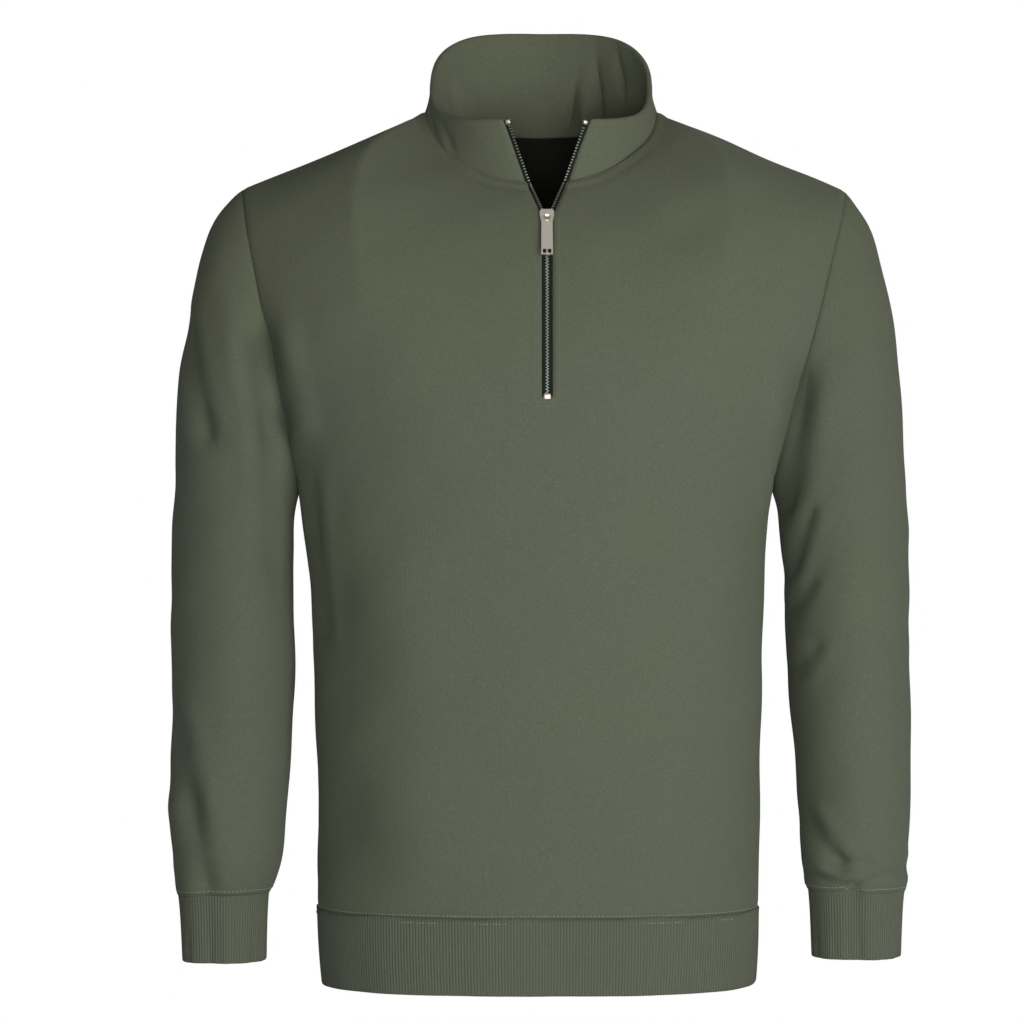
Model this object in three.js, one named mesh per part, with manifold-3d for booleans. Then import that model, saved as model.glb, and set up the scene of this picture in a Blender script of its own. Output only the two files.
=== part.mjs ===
// A quarter zip sweater of brushed jersey, filled out as it is worn, with nobody in it.
// Millimetres, +Z up. The front faces -Y, and +X is the wearer's left side. The origin is where
// the neck of the wearer carries it: on the centre line, level with the high shoulder points.
// Every panel is a wall round a middle surface. Panels that meet share their seam's points and
// its direction across the cloth, so the walls end face to face, a seam gap apart.
import * as THREE from 'three';
import { mergeVertices } from 'three/addons/utils/BufferGeometryUtils.js';
import Module from 'manifold-3d';

const wasm = await Module();
wasm.setup();

// Cloth
const JERSEY = 2.0;            // thickness of the body cloth
const COLLAR_CLOTH = 4.2;      // two plies and their seam allowance
const RIB_CLOTH = 3.6;         // rib folded double
const SEAM_GAP = 0.34;         // between two panels at a seam

// Body
const HEM_SEAM_Z = -636;
const HEM_BOTTOM_Z = -695;
const UNDERARM_Z = -295;
const SHOULDER_Z = -64;
const BODY_SQUARENESS = 2.5;   // exponent of the body's cross section, 2 is an ellipse
const CHEST_FRONT = 126;
const CHEST_BACK = 116;
const ROLL_HEIGHT = 180;       // how far below its top edge a panel reaches its full depth
const ROLL_POWER = 0.72;
const SIDE_CROWDING = 0.65;    // how far the columns crowd to the side seams, 1 is as on a circle
const FAN_POWER = 24;           // how soon the columns of a panel spread out below its top edge
const ARMHOLE_FRONT = 62;
const ARMHOLE_BACK = 66;
const ARMHOLE_REACH = 4;       // how soon the armhole's depth fades towards the neck
const ARMHOLE_STEPS = 10;      // along one armhole edge of one panel

// Side seams, hem up to underarm, then the shoulder points
const SIDES = [
  { z: HEM_SEAM_Z, left: -177, right: 173, front: 116, back: 106 },
  { z: -560, left: -179, right: 174, front: 120, back: 109 },
  { z: -480, left: -181, right: 176, front: 124, back: 112 },
  { z: -410, left: -185, right: 177, front: 126, back: 114 },
  { z: -350, left: -188, right: 180, front: 127, back: 116 },
  { z: UNDERARM_Z, left: -193, right: 184, front: CHEST_FRONT, back: CHEST_BACK },
  { z: SHOULDER_Z, left: -239, right: 244, front: CHEST_FRONT, back: CHEST_BACK },
];

// Neck seam
const NECK_HALF = 91;
const NECK_FRONT = 68;
const NECK_BACK = 76;
const NECK_SIDE_Z = -2;
const NECK_FRONT_DROP = 61;
const NECK_BACK_DROP = 10;
const NECK_STEPS = 6;          // along a quarter of the neck seam
const SHOULDER_STEPS = 6;      // along one shoulder seam

// Collar rim
const RIM_HALF = 87;
const RIM_FRONT = 82;
const RIM_BACK = 79;
const RIM_SIDE_Z = 22;
const RIM_CLIMB = 50;          // from the sides up to the middle of the back
const RIM_CLIMB_POWER = 1.6;
const RIM_FALL = 34.5;         // from the sides down to the zip
const RIM_FALL_POWER = 2.4;
const COLLAR_ROWS = 4;
const COLLAR_WAIST = 1.5;      // how far the collar draws in half way up

// Sleeves: the outer and the inner line of each, and the half depths, from armhole to cuff
const LEFT_SLEEVE = [
  { outX: -258, outZ: -86, inX: -197, inZ: -320, front: 67, back: 69, y: 0 },
  { outX: -271, outZ: -116, inX: -198, inZ: -346, front: 71, back: 72, y: 0 },
  { outX: -280, outZ: -160, inX: -198, inZ: -374, front: 72, back: 73, y: 0 },
  { outX: -287, outZ: -212, inX: -198, inZ: -404, front: 70, back: 71, y: -1 },
  { outX: -291, outZ: -278, inX: -198, inZ: -440, front: 67, back: 67, y: -3 },
  { outX: -293, outZ: -360, inX: -199, inZ: -480, front: 62, back: 62, y: -5 },
  { outX: -294, outZ: -446, inX: -201, inZ: -524, front: 57, back: 57, y: -7 },
  { outX: -294, outZ: -526, inX: -205, inZ: -566, front: 52, back: 52, y: -9 },
  { outX: -293, outZ: -592, inX: -210, inZ: -602, front: 46, back: 46, y: -11 },
  { outX: -291, outZ: -624, inX: -216, inZ: -622, front: 38, back: 38, y: -12 },
];
const RIGHT_SLEEVE = [
  { outX: 262, outZ: -92, inX: 189, inZ: -320, front: 67, back: 69, y: 0 },
  { outX: 272, outZ: -124, inX: 192, inZ: -344, front: 71, back: 72, y: 0 },
  { outX: 280, outZ: -164, inX: 195, inZ: -372, front: 72, back: 73, y: 0 },
  { outX: 286, outZ: -216, inX: 197, inZ: -402, front: 70, back: 71, y: -1 },
  { outX: 290, outZ: -280, inX: 199, inZ: -440, front: 67, back: 67, y: -3 },
  { outX: 292, outZ: -362, inX: 201, inZ: -480, front: 62, back: 62, y: -5 },
  { outX: 293, outZ: -446, inX: 204, inZ: -522, front: 57, back: 57, y: -7 },
  { outX: 293, outZ: -524, inX: 207, inZ: -562, front: 52, back: 52, y: -9 },
  { outX: 292, outZ: -588, inX: 210, inZ: -600, front: 46, back: 46, y: -11 },
  { outX: 290, outZ: -621, inX: 213, inZ: -619, front: 38, back: 38, y: -12 },
];
const CUFF_HEIGHT = 53;
const CUFF_TAPER = 0.9;
const CUFF_STEP = 0.45;        // under 1, the cuff draws in most just below its seam
const CUFF_ROWS = 3;
const HEM_ROWS = 3;
const HEM_TUCK = 3;            // how far the hem band turns in at its bottom edge
const HEM_TURN = 2;            // over 1, the hem band turns in most at the bottom

// Zip
const ZIP_X = 4;
const SLIDER_Z = -91;
const SLIDER_HALF_HEIGHT = 6.5;
const STOP_Z = -231;
const STOP_HALF_HEIGHT = 2.4;
const SLIT_BOTTOM_Z = -236;
const CHAIN_WIDTH = 2.2;       // one row of teeth
const CHAIN_THICK = 2.6;
const TAPE_WIDTH = 1.4;        // what shows between teeth and cloth
const TAPE_THICK = 0.8;
const ZIP_GAP = 0.3;
const CLOTH_EDGE = CHAIN_WIDTH + TAPE_WIDTH + 2 * ZIP_GAP;
const ZIP_TOP_Z = -13;
const TOP_STOP_HEIGHT = 3;
const TOP_STOP_THICK = 3.4;
const TOP_STOP_LAP = 0.2;      // past the edge of the teeth
const BOTTOM_STOP_THICK = 3;
const CLOSED_TOP_Z = SLIDER_Z - 0.6;
const OPEN_BOTTOM_Z = SLIDER_Z + 2.2;

// Half the width of the opening between the two rows of teeth, from the slider up
const ZIP_OPENING = [
  { z: SLIDER_Z + 0.5, half: 0.3 },
  { z: SLIDER_Z + SLIDER_HALF_HEIGHT, half: 2.6 },
  { z: -63, half: 12 },
  { z: ZIP_TOP_Z, half: 30 },
  { z: 60, half: 56 },
];

const CLOTH_COLOUR = 0x62685a;
const RIB_COLOUR = 0x5c6351;
const TAPE_COLOUR = 0x26342a;
const METAL_COLOUR = 0xb9b4ab;

const lerp = THREE.MathUtils.lerp;

// A value from a table with a z column, straight between its rows
function fromTable(table, z, column) {
  let row = 0;
  while (row < table.length - 2 && (table[row + 1].z - z) * (table[1].z - table[0].z) < 0) {
    row += 1;
  }
  const low = table[row];
  const high = table[row + 1];
  const share = (z - low.z) / (high.z - low.z);
  return lerp(low[column], high[column], THREE.MathUtils.clamp(share, 0, 1));
}

// ---------------------------------------------------------------- middle surfaces

// The armhole is an oval in the sloping plane from the underarm to the shoulder point.
function armholePoint(side, turn) {
  const under = SIDES[SIDES.length - 2];
  const top = SIDES[SIDES.length - 1];
  const share = (1 - Math.cos(turn)) / 2;
  const depth = Math.sin(turn) * (Math.sin(turn) > 0 ? ARMHOLE_FRONT : ARMHOLE_BACK);
  return new THREE.Vector3(lerp(under[side], top[side], share), -depth, lerp(under.z, top.z, share));
}

// Height of the neck seam where it has this distance in front (-) or behind (+)
function neckZ(y) {
  if (y < 0) {
    return NECK_SIDE_Z + NECK_FRONT_DROP * y / NECK_FRONT;
  }
  return NECK_SIDE_Z - NECK_BACK_DROP * (y / NECK_BACK) ** 1.5;
}

function neckPoint(angle, depth) {
  const y = -depth * Math.cos(angle);
  return new THREE.Vector3(NECK_HALF * Math.sin(angle), y, neckZ(y));
}

// Top edge of a panel: shoulder point, high shoulder point, neck seam, and down the other side
function topEdge(sign, neckDepth) {
  const points = [];
  const left = new THREE.Vector3(SIDES.at(-1).left, 0, SHOULDER_Z);
  const right = new THREE.Vector3(SIDES.at(-1).right, 0, SHOULDER_Z);
  const neckLeft = new THREE.Vector3(-NECK_HALF, 0, NECK_SIDE_Z);
  const neckRight = new THREE.Vector3(NECK_HALF, 0, NECK_SIDE_Z);
  for (let i = 0; i < SHOULDER_STEPS; i += 1) {
    points.push(left.clone().lerp(neckLeft, i / SHOULDER_STEPS));
  }
  for (let i = -NECK_STEPS; i <= NECK_STEPS; i += 1) {
    const point = neckPoint(i / NECK_STEPS * Math.PI / 2, neckDepth);
    point.y *= sign;
    point.z = neckZ(point.y);
    points.push(point);
  }
  for (let i = 1; i <= SHOULDER_STEPS; i += 1) {
    points.push(neckRight.clone().lerp(right, i / SHOULDER_STEPS));
  }
  return points;
}

// One row per section, from the hem seam up; the columns fan out to the top edge's points.
function panelRows(isFront) {
  const sign = isFront ? 1 : -1;
  const column = isFront ? 'front' : 'back';
  const top = topEdge(sign, isFront ? NECK_FRONT : NECK_BACK);
  const width = SIDES.at(-1).right - SIDES.at(-1).left;
  const rows = [];
  const edges = SIDES.slice(0, -2).map((side) => ({
    left: new THREE.Vector3(side.left, 0, side.z),
    right: new THREE.Vector3(side.right, 0, side.z),
  }));
  for (let i = 0; i <= ARMHOLE_STEPS; i += 1) {
    const turn = sign * Math.PI * i / ARMHOLE_STEPS;
    edges.push({ left: armholePoint('left', turn), right: armholePoint('right', turn) });
  }
  for (const edge of edges) {
    const share = (edge.left.z - HEM_SEAM_Z) / (SHOULDER_Z - HEM_SEAM_Z);
    const full = fromTable(SIDES, edge.left.z, column);
    rows.push(top.map((crest, c) => {
      const above = (crest.x - SIDES.at(-1).left) / width;
      const even = c / (top.length - 1);
      const spread = lerp(even, (1 - Math.cos(Math.PI * even)) / 2, SIDE_CROWDING);
      const across = lerp(spread, above, share ** FAN_POWER);
      const from = Math.abs(across * 2 - 1);
      const z = lerp(HEM_SEAM_Z, crest.z, share);
      const side = Math.abs(lerp(edge.left.y, edge.right.y, across));
      const round = (value) => value ** BODY_SQUARENESS;
      const swell = round(side) + (round(full) - round(side)) * (1 - round(from));
      const depth = swell ** (1 / BODY_SQUARENESS);
      const fall = Math.min(1, (crest.z - z) / ROLL_HEIGHT);
      const roll = (1 - (1 - fall) ** 2) ** ROLL_POWER;
      const kept = lerp(roll, 1, from ** ARMHOLE_REACH);
      const y = lerp(crest.y, -sign * (depth - side), roll) - sign * side * kept;
      return new THREE.Vector3(lerp(edge.left.x, edge.right.x, across), y, z);
    }));
  }
  return rows;
}

function rimZ(y) {
  if (y < 0) {
    return RIM_SIDE_Z - RIM_FALL * (1 - (1 + y / RIM_FRONT) ** RIM_FALL_POWER);
  }
  return RIM_SIDE_Z + RIM_CLIMB * (1 - (1 - y / RIM_BACK) ** RIM_CLIMB_POWER);
}

function collarRows() {
  const rows = [];
  const steps = 4 * NECK_STEPS;
  for (let row = 0; row <= COLLAR_ROWS; row += 1) {
    const rise = row / COLLAR_ROWS;
    const ring = [];
    for (let i = 0; i < steps; i += 1) {
      const angle = 2 * Math.PI * i / steps;
      const ahead = Math.cos(angle) > 0;
      const base = neckPoint(angle, ahead ? NECK_FRONT : NECK_BACK);
      const y = -Math.cos(angle) * (ahead ? RIM_FRONT : RIM_BACK);
      const rim = new THREE.Vector3(RIM_HALF * Math.sin(angle), y, rimZ(y));
      const point = base.lerp(rim, rise);
      const waist = COLLAR_WAIST * Math.sin(Math.PI * rise);
      point.x -= waist * Math.sin(angle);
      point.y += waist * Math.cos(angle);
      ring.push(point);
    }
    rows.push(ring);
  }
  return rows;
}

function sleeveRows(side, sections) {
  const steps = 2 * ARMHOLE_STEPS;
  const rows = [[]];
  for (let i = 0; i < steps; i += 1) {
    rows[0].push(armholePoint(side, 2 * Math.PI * i / steps));
  }
  for (const section of sections) {
    const ring = [];
    for (let i = 0; i < steps; i += 1) {
      const turn = 2 * Math.PI * i / steps;
      const share = (1 - Math.cos(turn)) / 2;
      const depth = Math.sin(turn) * (Math.sin(turn) > 0 ? section.front : section.back);
      const x = lerp(section.inX, section.outX, share);
      ring.push(new THREE.Vector3(x, section.y - depth, lerp(section.inZ, section.outZ, share)));
    }
    rows.push(ring);
  }
  return rows;
}

// A tube that goes on down from a ring, to a height, drawing in by a share
function bandRows(ring, bottomZ, steps, narrowing, power) {
  const centre = ring.reduce((sum, p) => sum.add(p), new THREE.Vector3()).divideScalar(ring.length);
  const rows = [];
  for (let row = 0; row <= steps; row += 1) {
    const share = row / steps;
    rows.push(ring.map((p) => {
      const scale = lerp(1, narrowing, share ** power);
      return new THREE.Vector3(
        lerp(centre.x, p.x, scale),
        lerp(centre.y, p.y, scale),
        lerp(p.z, bottomZ, share),
      );
    }));
  }
  return rows;
}

// ---------------------------------------------------------------- walls

// A grid is { rows, closed }: closed when each row is a ring. Directions across the cloth are
// averaged over every panel that meets at a point, so that seams are mitred.
const acrossCloth = new Map();

function pointKey(p) {
  return [p.x, p.y, p.z].map((value) => (Math.round(value * 100) / 100 + 0).toFixed(2)).join(' ');
}

function addDirections(grid) {
  const { rows, closed, outward } = grid;
  const columns = rows[0].length;
  const last = closed ? columns : columns - 1;
  for (let r = 0; r < rows.length - 1; r += 1) {
    for (let c = 0; c < last; c += 1) {
      const d = (c + 1) % columns;
      const corners = [rows[r][c], rows[r][d], rows[r + 1][d], rows[r + 1][c]];
      const one = corners[2].clone().sub(corners[0]);
      const two = corners[3].clone().sub(corners[1]);
      const normal = one.cross(two).multiplyScalar(outward);
      if (normal.length() > 0) {
        normal.normalize();
      }
      for (const corner of corners) {
        const key = pointKey(corner);
        const sum = acrossCloth.get(key) ?? new THREE.Vector3();
        acrossCloth.set(key, sum.add(normal));
      }
    }
  }
}

function directionAt(p) {
  return acrossCloth.get(pointKey(p)).clone().normalize();
}

// Where the grid has an open edge, its points draw back by half a seam gap.
function drawBack(grid) {
  const { rows, closed } = grid;
  const count = rows.length;
  const columns = rows[0].length;
  return rows.map((row, r) => row.map((p, c) => {
    const moved = p.clone();
    const n = directionAt(p);
    const inwards = (neighbour, alongA, alongB) => {
      const edge = alongB.clone().sub(alongA).normalize();
      const step = n.clone().cross(edge).normalize();
      if (step.dot(neighbour.clone().sub(p)) < 0) {
        step.negate();
      }
      moved.addScaledVector(step, SEAM_GAP / 2);
    };
    if (r === 0 || r === count - 1) {
      const before = closed ? row[(c + columns - 1) % columns] : row[Math.max(0, c - 1)];
      const after = closed ? row[(c + 1) % columns] : row[Math.min(columns - 1, c + 1)];
      inwards(rows[r === 0 ? 1 : count - 2][c], before, after);
    }
    if (!closed && (c === 0 || c === columns - 1)) {
      const below = rows[Math.max(0, r - 1)][c];
      const above = rows[Math.min(count - 1, r + 1)][c];
      inwards(row[c === 0 ? 1 : columns - 2], below, above);
    }
    return moved;
  }));
}

// The closed wall of a grid: an outer and an inner face, joined round the edges
function wallGeometry(grid, thickness, gapped = true) {
  const { rows, closed, outward } = grid;
  const points = gapped ? drawBack(grid) : rows;
  const count = rows.length;
  const columns = rows[0].length;
  const positions = [];
  const index = [];
  for (const side of [1, -1]) {
    points.forEach((row, r) => row.forEach((p, c) => {
      const q = p.clone().addScaledVector(directionAt(rows[r][c]), side * thickness / 2);
      positions.push(q.x, q.y, q.z);
    }));
  }
  const inner = count * columns;
  const at = (r, c) => r * columns + c % columns;
  const quad = (a, b, c, d) => {
    if (outward > 0) {
      index.push(a, b, c, a, c, d);
    } else {
      index.push(a, c, b, a, d, c);
    }
  };
  const last = closed ? columns : columns - 1;
  for (let r = 0; r < count - 1; r += 1) {
    for (let c = 0; c < last; c += 1) {
      quad(at(r, c), at(r, c + 1), at(r + 1, c + 1), at(r + 1, c));
      quad(inner + at(r, c), inner + at(r + 1, c), inner + at(r + 1, c + 1), inner + at(r, c + 1));
    }
  }
  // Both walls at a seam split its end faces the same way, from the lower outer corner.
  const height = (vertex) => {
    const p = rows[Math.floor(vertex / columns)][vertex % columns];
    return p.z + 1e-3 * p.x + 1e-6 * p.y;
  };
  const endFace = (a, b) => {
    if (height(a) < height(b)) {
      quad(a, b, inner + b, inner + a);
    } else {
      quad(b, inner + b, inner + a, a);
    }
  };
  for (let c = 0; c < last; c += 1) {
    endFace(at(0, c + 1), at(0, c));
    endFace(at(count - 1, c), at(count - 1, c + 1));
  }
  if (!closed) {
    for (let r = 0; r < count - 1; r += 1) {
      endFace(at(r, 0), at(r + 1, 0));
      endFace(at(r + 1, columns - 1), at(r, columns - 1));
    }
  }
  const geometry = new THREE.BufferGeometry();
  geometry.setAttribute('position', new THREE.Float32BufferAttribute(positions, 3));
  geometry.setIndex(index);
  return geometry;
}

// ---------------------------------------------------------------- solids for cutting and joining

function toSolid(geometry) {
  const bare = geometry.clone();
  bare.deleteAttribute('normal');
  bare.deleteAttribute('uv');
  const merged = mergeVertices(bare, 1e-3);
  const triangles = [];
  for (let i = 0; i < merged.index.count; i += 3) {
    const [a, b, c] = [0, 1, 2].map((corner) => merged.index.getX(i + corner));
    if (a !== b && b !== c && c !== a) {
      triangles.push(a, b, c);
    }
  }
  return new wasm.Manifold(new wasm.Mesh({
    numProp: 3,
    vertProperties: new Float32Array(merged.attributes.position.array),
    triVerts: new Uint32Array(triangles),
  }));
}

function fromSolid(solid) {
  const mesh = solid.getMesh();
  const geometry = new THREE.BufferGeometry();
  geometry.setAttribute('position', new THREE.Float32BufferAttribute(mesh.vertProperties, 3));
  geometry.setIndex(Array.from(mesh.triVerts));
  return geometry;
}

// The slit down the centre front, wide enough for the teeth and what shows of the tape
function slitSolid() {
  const shape = new THREE.Shape();
  const edges = [{ z: SLIT_BOTTOM_Z, half: 0 }, ...ZIP_OPENING];
  edges.forEach(({ z, half }, i) => {
    const x = ZIP_X + half + CLOTH_EDGE;
    if (i === 0) {
      shape.moveTo(x, z);
    } else {
      shape.lineTo(x, z);
    }
  });
  [...edges].reverse().forEach(({ z, half }) => shape.lineTo(ZIP_X - half - CLOTH_EDGE, z));
  const reach = 160;
  const prism = new THREE.ExtrudeGeometry(shape, { depth: reach, bevelEnabled: false });
  prism.rotateX(Math.PI / 2);
  return toSolid(prism);
}

// ---------------------------------------------------------------- zip

// The middle surface of the front and the collar at a place seen from the front
function frontSurfaceY(grids, x, z) {
  for (const { rows, closed } of grids) {
    const columns = rows[0].length;
    const last = closed ? columns : columns - 1;
    for (let r = 0; r < rows.length - 1; r += 1) {
      for (let c = 0; c < last; c += 1) {
        const d = (c + 1) % columns;
        const quad = [rows[r][c], rows[r][d], rows[r + 1][d], rows[r + 1][c]];
        for (const [i, j, k] of [[0, 1, 2], [0, 2, 3]]) {
          const flat = [quad[i], quad[j], quad[k]].map((p) => new THREE.Vector3(p.x, p.z, 0));
          const share = new THREE.Vector3();
          const triangle = new THREE.Triangle(...flat);
          const spot = new THREE.Vector3(x, z, 0);
          if (triangle.getArea() > 0 && triangle.containsPoint(spot)) {
            triangle.getBarycoord(spot, share);
            const y = share.x * quad[i].y + share.y * quad[j].y + share.z * quad[k].y;
            if (y < 0) {
              return y;
            }
          }
        }
      }
    }
  }
  throw new Error(`no cloth at ${x} ${z}`);
}

function opening(z) {
  return z <= ZIP_OPENING[0].z ? 0 : fromTable(ZIP_OPENING, z, 'half');
}

// A strip beside the zip's centre line, between two distances from the edge of the opening
function stripGrid(grids, side, from, to, heights) {
  const rows = heights.map((z) => [from, to].map((away) => {
    const x = ZIP_X + side * (opening(z) + away);
    return new THREE.Vector3(x, frontSurfaceY(grids, x, z), z);
  }));
  return { rows, closed: false, outward: side };
}

// A strip across both rows of teeth where they are closed
function middleGrid(grids, heights) {
  const rows = heights.map((z) => [-CHAIN_WIDTH, CHAIN_WIDTH].map((away) => {
    const x = ZIP_X + away;
    return new THREE.Vector3(x, frontSurfaceY(grids, x, z), z);
  }));
  return { rows, closed: false, outward: 1 };
}

// Heights at a step, with the ends and the rows of the opening's table always among them
function heightsBetween(low, high, step) {
  const marks = [low, high, ...ZIP_OPENING.map((row) => row.z).filter((z) => z > low && z < high)];
  for (let z = Math.ceil(low / step) * step; z < high; z += step) {
    if (marks.every((mark) => Math.abs(mark - z) > step / 4)) {
      marks.push(z);
    }
  }
  return marks.sort((a, b) => a - b);
}

function boxAt(width, depth, height, x, y, z) {
  return new THREE.BoxGeometry(width, depth, height).translate(x, y, z);
}

// Slider, in its own frame: local -Y faces away from the cloth, local Z runs up the zip.
const PLATE_INNER = 1.6;
const PLATE_THICK = 1.2;
const CROWN_TOP = -7.4;
const PULL_Y = -4.7;
const PULL_Z = 0.5;
const PULL_BAR_RADIUS = 0.7;
const EYE_RADIUS = 1.1;        // hole in the crown, round the pull's bar
const FOOT_HALF = 4;           // half width of the plates at their foot
const HEAD_HALF = 5.6;
const HEAD_Z = 1.5;            // where the plates are at their widest
const HEAD_RADIUS = 2.5;
const PLATE_LAP = 0.2;         // how far the core and crown run into the plates
const CORE_HALF = 1.7;
const CORE_FOOT_Z = 2.2;
const CROWN_WIDTH = 2.4;
const CROWN_FOOT_Z = -3.4;
const CROWN_HEAD_Z = 5.2;

function sliderPlate(y) {
  const outline = new THREE.Shape();
  const cornerX = HEAD_HALF - HEAD_RADIUS;
  const cornerZ = SLIDER_HALF_HEIGHT - HEAD_RADIUS;
  outline.moveTo(-FOOT_HALF, -SLIDER_HALF_HEIGHT);
  outline.lineTo(FOOT_HALF, -SLIDER_HALF_HEIGHT);
  outline.lineTo(HEAD_HALF, HEAD_Z);
  outline.absarc(cornerX, cornerZ, HEAD_RADIUS, 0, Math.PI / 2, false);
  outline.absarc(-cornerX, cornerZ, HEAD_RADIUS, Math.PI / 2, Math.PI, false);
  outline.lineTo(-HEAD_HALF, HEAD_Z);
  outline.closePath();
  const plate = new THREE.ExtrudeGeometry(outline, {
    depth: PLATE_THICK,
    bevelEnabled: false,
    curveSegments: 6,
  });
  plate.rotateX(Math.PI / 2);
  return plate.translate(0, y, 0);
}

function sliderGeometry() {
  const front = toSolid(sliderPlate(-PLATE_INNER));
  const back = toSolid(sliderPlate(PLATE_INNER + PLATE_THICK));
  const wedge = new THREE.Shape();
  wedge.moveTo(0, CORE_FOOT_Z);
  wedge.lineTo(CORE_HALF, SLIDER_HALF_HEIGHT - PLATE_LAP);
  wedge.lineTo(-CORE_HALF, SLIDER_HALF_HEIGHT - PLATE_LAP);
  wedge.closePath();
  const coreDepth = 2 * (PLATE_INNER + PLATE_LAP);
  const core = new THREE.ExtrudeGeometry(wedge, { depth: coreDepth, bevelEnabled: false });
  core.rotateX(Math.PI / 2).translate(0, coreDepth / 2, 0);
  const side = new THREE.Shape();
  const foot = -PLATE_INNER - PLATE_THICK + PLATE_LAP;
  side.moveTo(foot, CROWN_FOOT_Z);
  side.quadraticCurveTo(CROWN_TOP, CROWN_FOOT_Z, CROWN_TOP, PULL_Z);
  side.quadraticCurveTo(CROWN_TOP, CROWN_HEAD_Z, foot, CROWN_HEAD_Z);
  side.closePath();
  const crown = new THREE.ExtrudeGeometry(side, {
    depth: CROWN_WIDTH,
    bevelEnabled: false,
    curveSegments: 8,
  });
  crown.translate(0, 0, -CROWN_WIDTH / 2);
  crown.applyMatrix4(new THREE.Matrix4().makeBasis(
    new THREE.Vector3(0, 1, 0),
    new THREE.Vector3(0, 0, 1),
    new THREE.Vector3(1, 0, 0),
  ));
  const eye = new THREE.CylinderGeometry(EYE_RADIUS, EYE_RADIUS, 6, 14);
  eye.rotateZ(Math.PI / 2).translate(0, PULL_Y, PULL_Z);
  const bridge = toSolid(crown).subtract(toSolid(eye));
  return fromSolid(front.add(back).add(toSolid(core)).add(bridge));
}

// The pull: a round bar through the crown, two rails past it, and a plain tab with two windows
const PULL_WIDTH = 8.4;
const PULL_THICK = 1.4;
const PULL_LENGTH = 36.5;
const RAIL_WIDTH = 1.5;
const TAB_TOP = 6.4;           // how far below the bar's middle the tab begins
const SLOT_TOP = 4;            // above it, clear of the bar
const PULL_FLARE = 0.4;        // how much wider each side is at the foot
const BAR_END = 0.2;           // how far the bar stops short of the rails' faces
const WINDOW_WIDTH = 2.8;
const WINDOW_HEIGHT = 3.6;
const WINDOW_BAR = 1;          // between the two windows
const WINDOW_FOOT = 1.4;       // below them

function pullGeometry() {
  const outline = new THREE.Shape();
  const half = PULL_WIDTH / 2;
  outline.moveTo(-half, PULL_BAR_RADIUS);
  outline.lineTo(-half - PULL_FLARE, -PULL_LENGTH);
  outline.lineTo(half + PULL_FLARE, -PULL_LENGTH);
  outline.lineTo(half, PULL_BAR_RADIUS);
  const tab = new THREE.ExtrudeGeometry(outline, { depth: PULL_THICK, bevelEnabled: false });
  tab.rotateX(Math.PI / 2).translate(0, PULL_THICK / 2, 0);
  const inside = half - RAIL_WIDTH;
  const slotHeight = TAB_TOP + SLOT_TOP;
  const slot = boxAt(2 * inside, 2 * PULL_THICK, slotHeight, 0, 0, SLOT_TOP - slotHeight / 2);
  const barLength = PULL_WIDTH - 2 * BAR_END;
  const bar = new THREE.CylinderGeometry(PULL_BAR_RADIUS, PULL_BAR_RADIUS, barLength, 12);
  bar.rotateZ(Math.PI / 2);
  let solid = toSolid(tab).subtract(toSolid(slot)).add(toSolid(bar));
  for (const side of [-1, 1]) {
    const x = side * (WINDOW_BAR + WINDOW_WIDTH) / 2;
    const z = -PULL_LENGTH + WINDOW_FOOT + WINDOW_HEIGHT / 2;
    solid = solid.subtract(toSolid(boxAt(WINDOW_WIDTH, 2 * PULL_THICK, WINDOW_HEIGHT, x, 0, z)));
  }
  return fromSolid(solid);
}

// ---------------------------------------------------------------- the sweater

const front = { rows: panelRows(true), closed: false, outward: 1 };
const back = { rows: panelRows(false), closed: false, outward: -1 };
const collar = { rows: collarRows(), closed: true, outward: 1 };
const sleeveLeft = { rows: sleeveRows('left', LEFT_SLEEVE), closed: true, outward: 1 };
const sleeveRight = { rows: sleeveRows('right', RIGHT_SLEEVE), closed: true, outward: -1 };
const leftWrist = sleeveLeft.rows.at(-1);
const rightWrist = sleeveRight.rows.at(-1);
const leftCuffZ = LEFT_SLEEVE.at(-1).outZ - CUFF_HEIGHT;
const rightCuffZ = RIGHT_SLEEVE.at(-1).outZ - CUFF_HEIGHT;
const cuffLeft = {
  rows: bandRows(leftWrist, leftCuffZ, CUFF_ROWS, CUFF_TAPER, CUFF_STEP),
  closed: true,
  outward: 1,
};
const cuffRight = {
  rows: bandRows(rightWrist, rightCuffZ, CUFF_ROWS, CUFF_TAPER, CUFF_STEP),
  closed: true,
  outward: -1,
};
const hemRing = [...front.rows[0], ...back.rows[0].slice(1, -1).reverse()];
const hemNarrowing = 1 - HEM_TUCK / SIDES[0].right;
const hem = {
  rows: bandRows(hemRing, HEM_BOTTOM_Z, HEM_ROWS, hemNarrowing, HEM_TURN),
  closed: true,
  outward: -1,
};

const cloth = [front, back, collar, sleeveLeft, sleeveRight, cuffLeft, cuffRight, hem];
cloth.forEach(addDirections);

const tapeFrom = CHAIN_WIDTH + ZIP_GAP;
const tapeTo = tapeFrom + TAPE_WIDTH;
const topStopTop = ZIP_TOP_Z - 0.6;
const topStopFoot = topStopTop - TOP_STOP_HEIGHT;
const zipStep = 15;
const tapeHeights = heightsBetween(SLIT_BOTTOM_Z + 1, ZIP_TOP_Z - 1, zipStep);
const openHeights = heightsBetween(OPEN_BOTTOM_Z, topStopFoot - 0.4, zipStep);
const closedHeights = heightsBetween(STOP_Z + STOP_HALF_HEIGHT + 0.6, CLOSED_TOP_Z, zipStep);
const stopHeights = [STOP_Z - STOP_HALF_HEIGHT, STOP_Z + STOP_HALF_HEIGHT];
const visible = [collar, front];
const tapes = [-1, 1].map((side) => stripGrid(visible, side, tapeFrom, tapeTo, tapeHeights));
const chains = [-1, 1].map((side) => stripGrid(visible, side, 0, CHAIN_WIDTH, openHeights));
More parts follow.
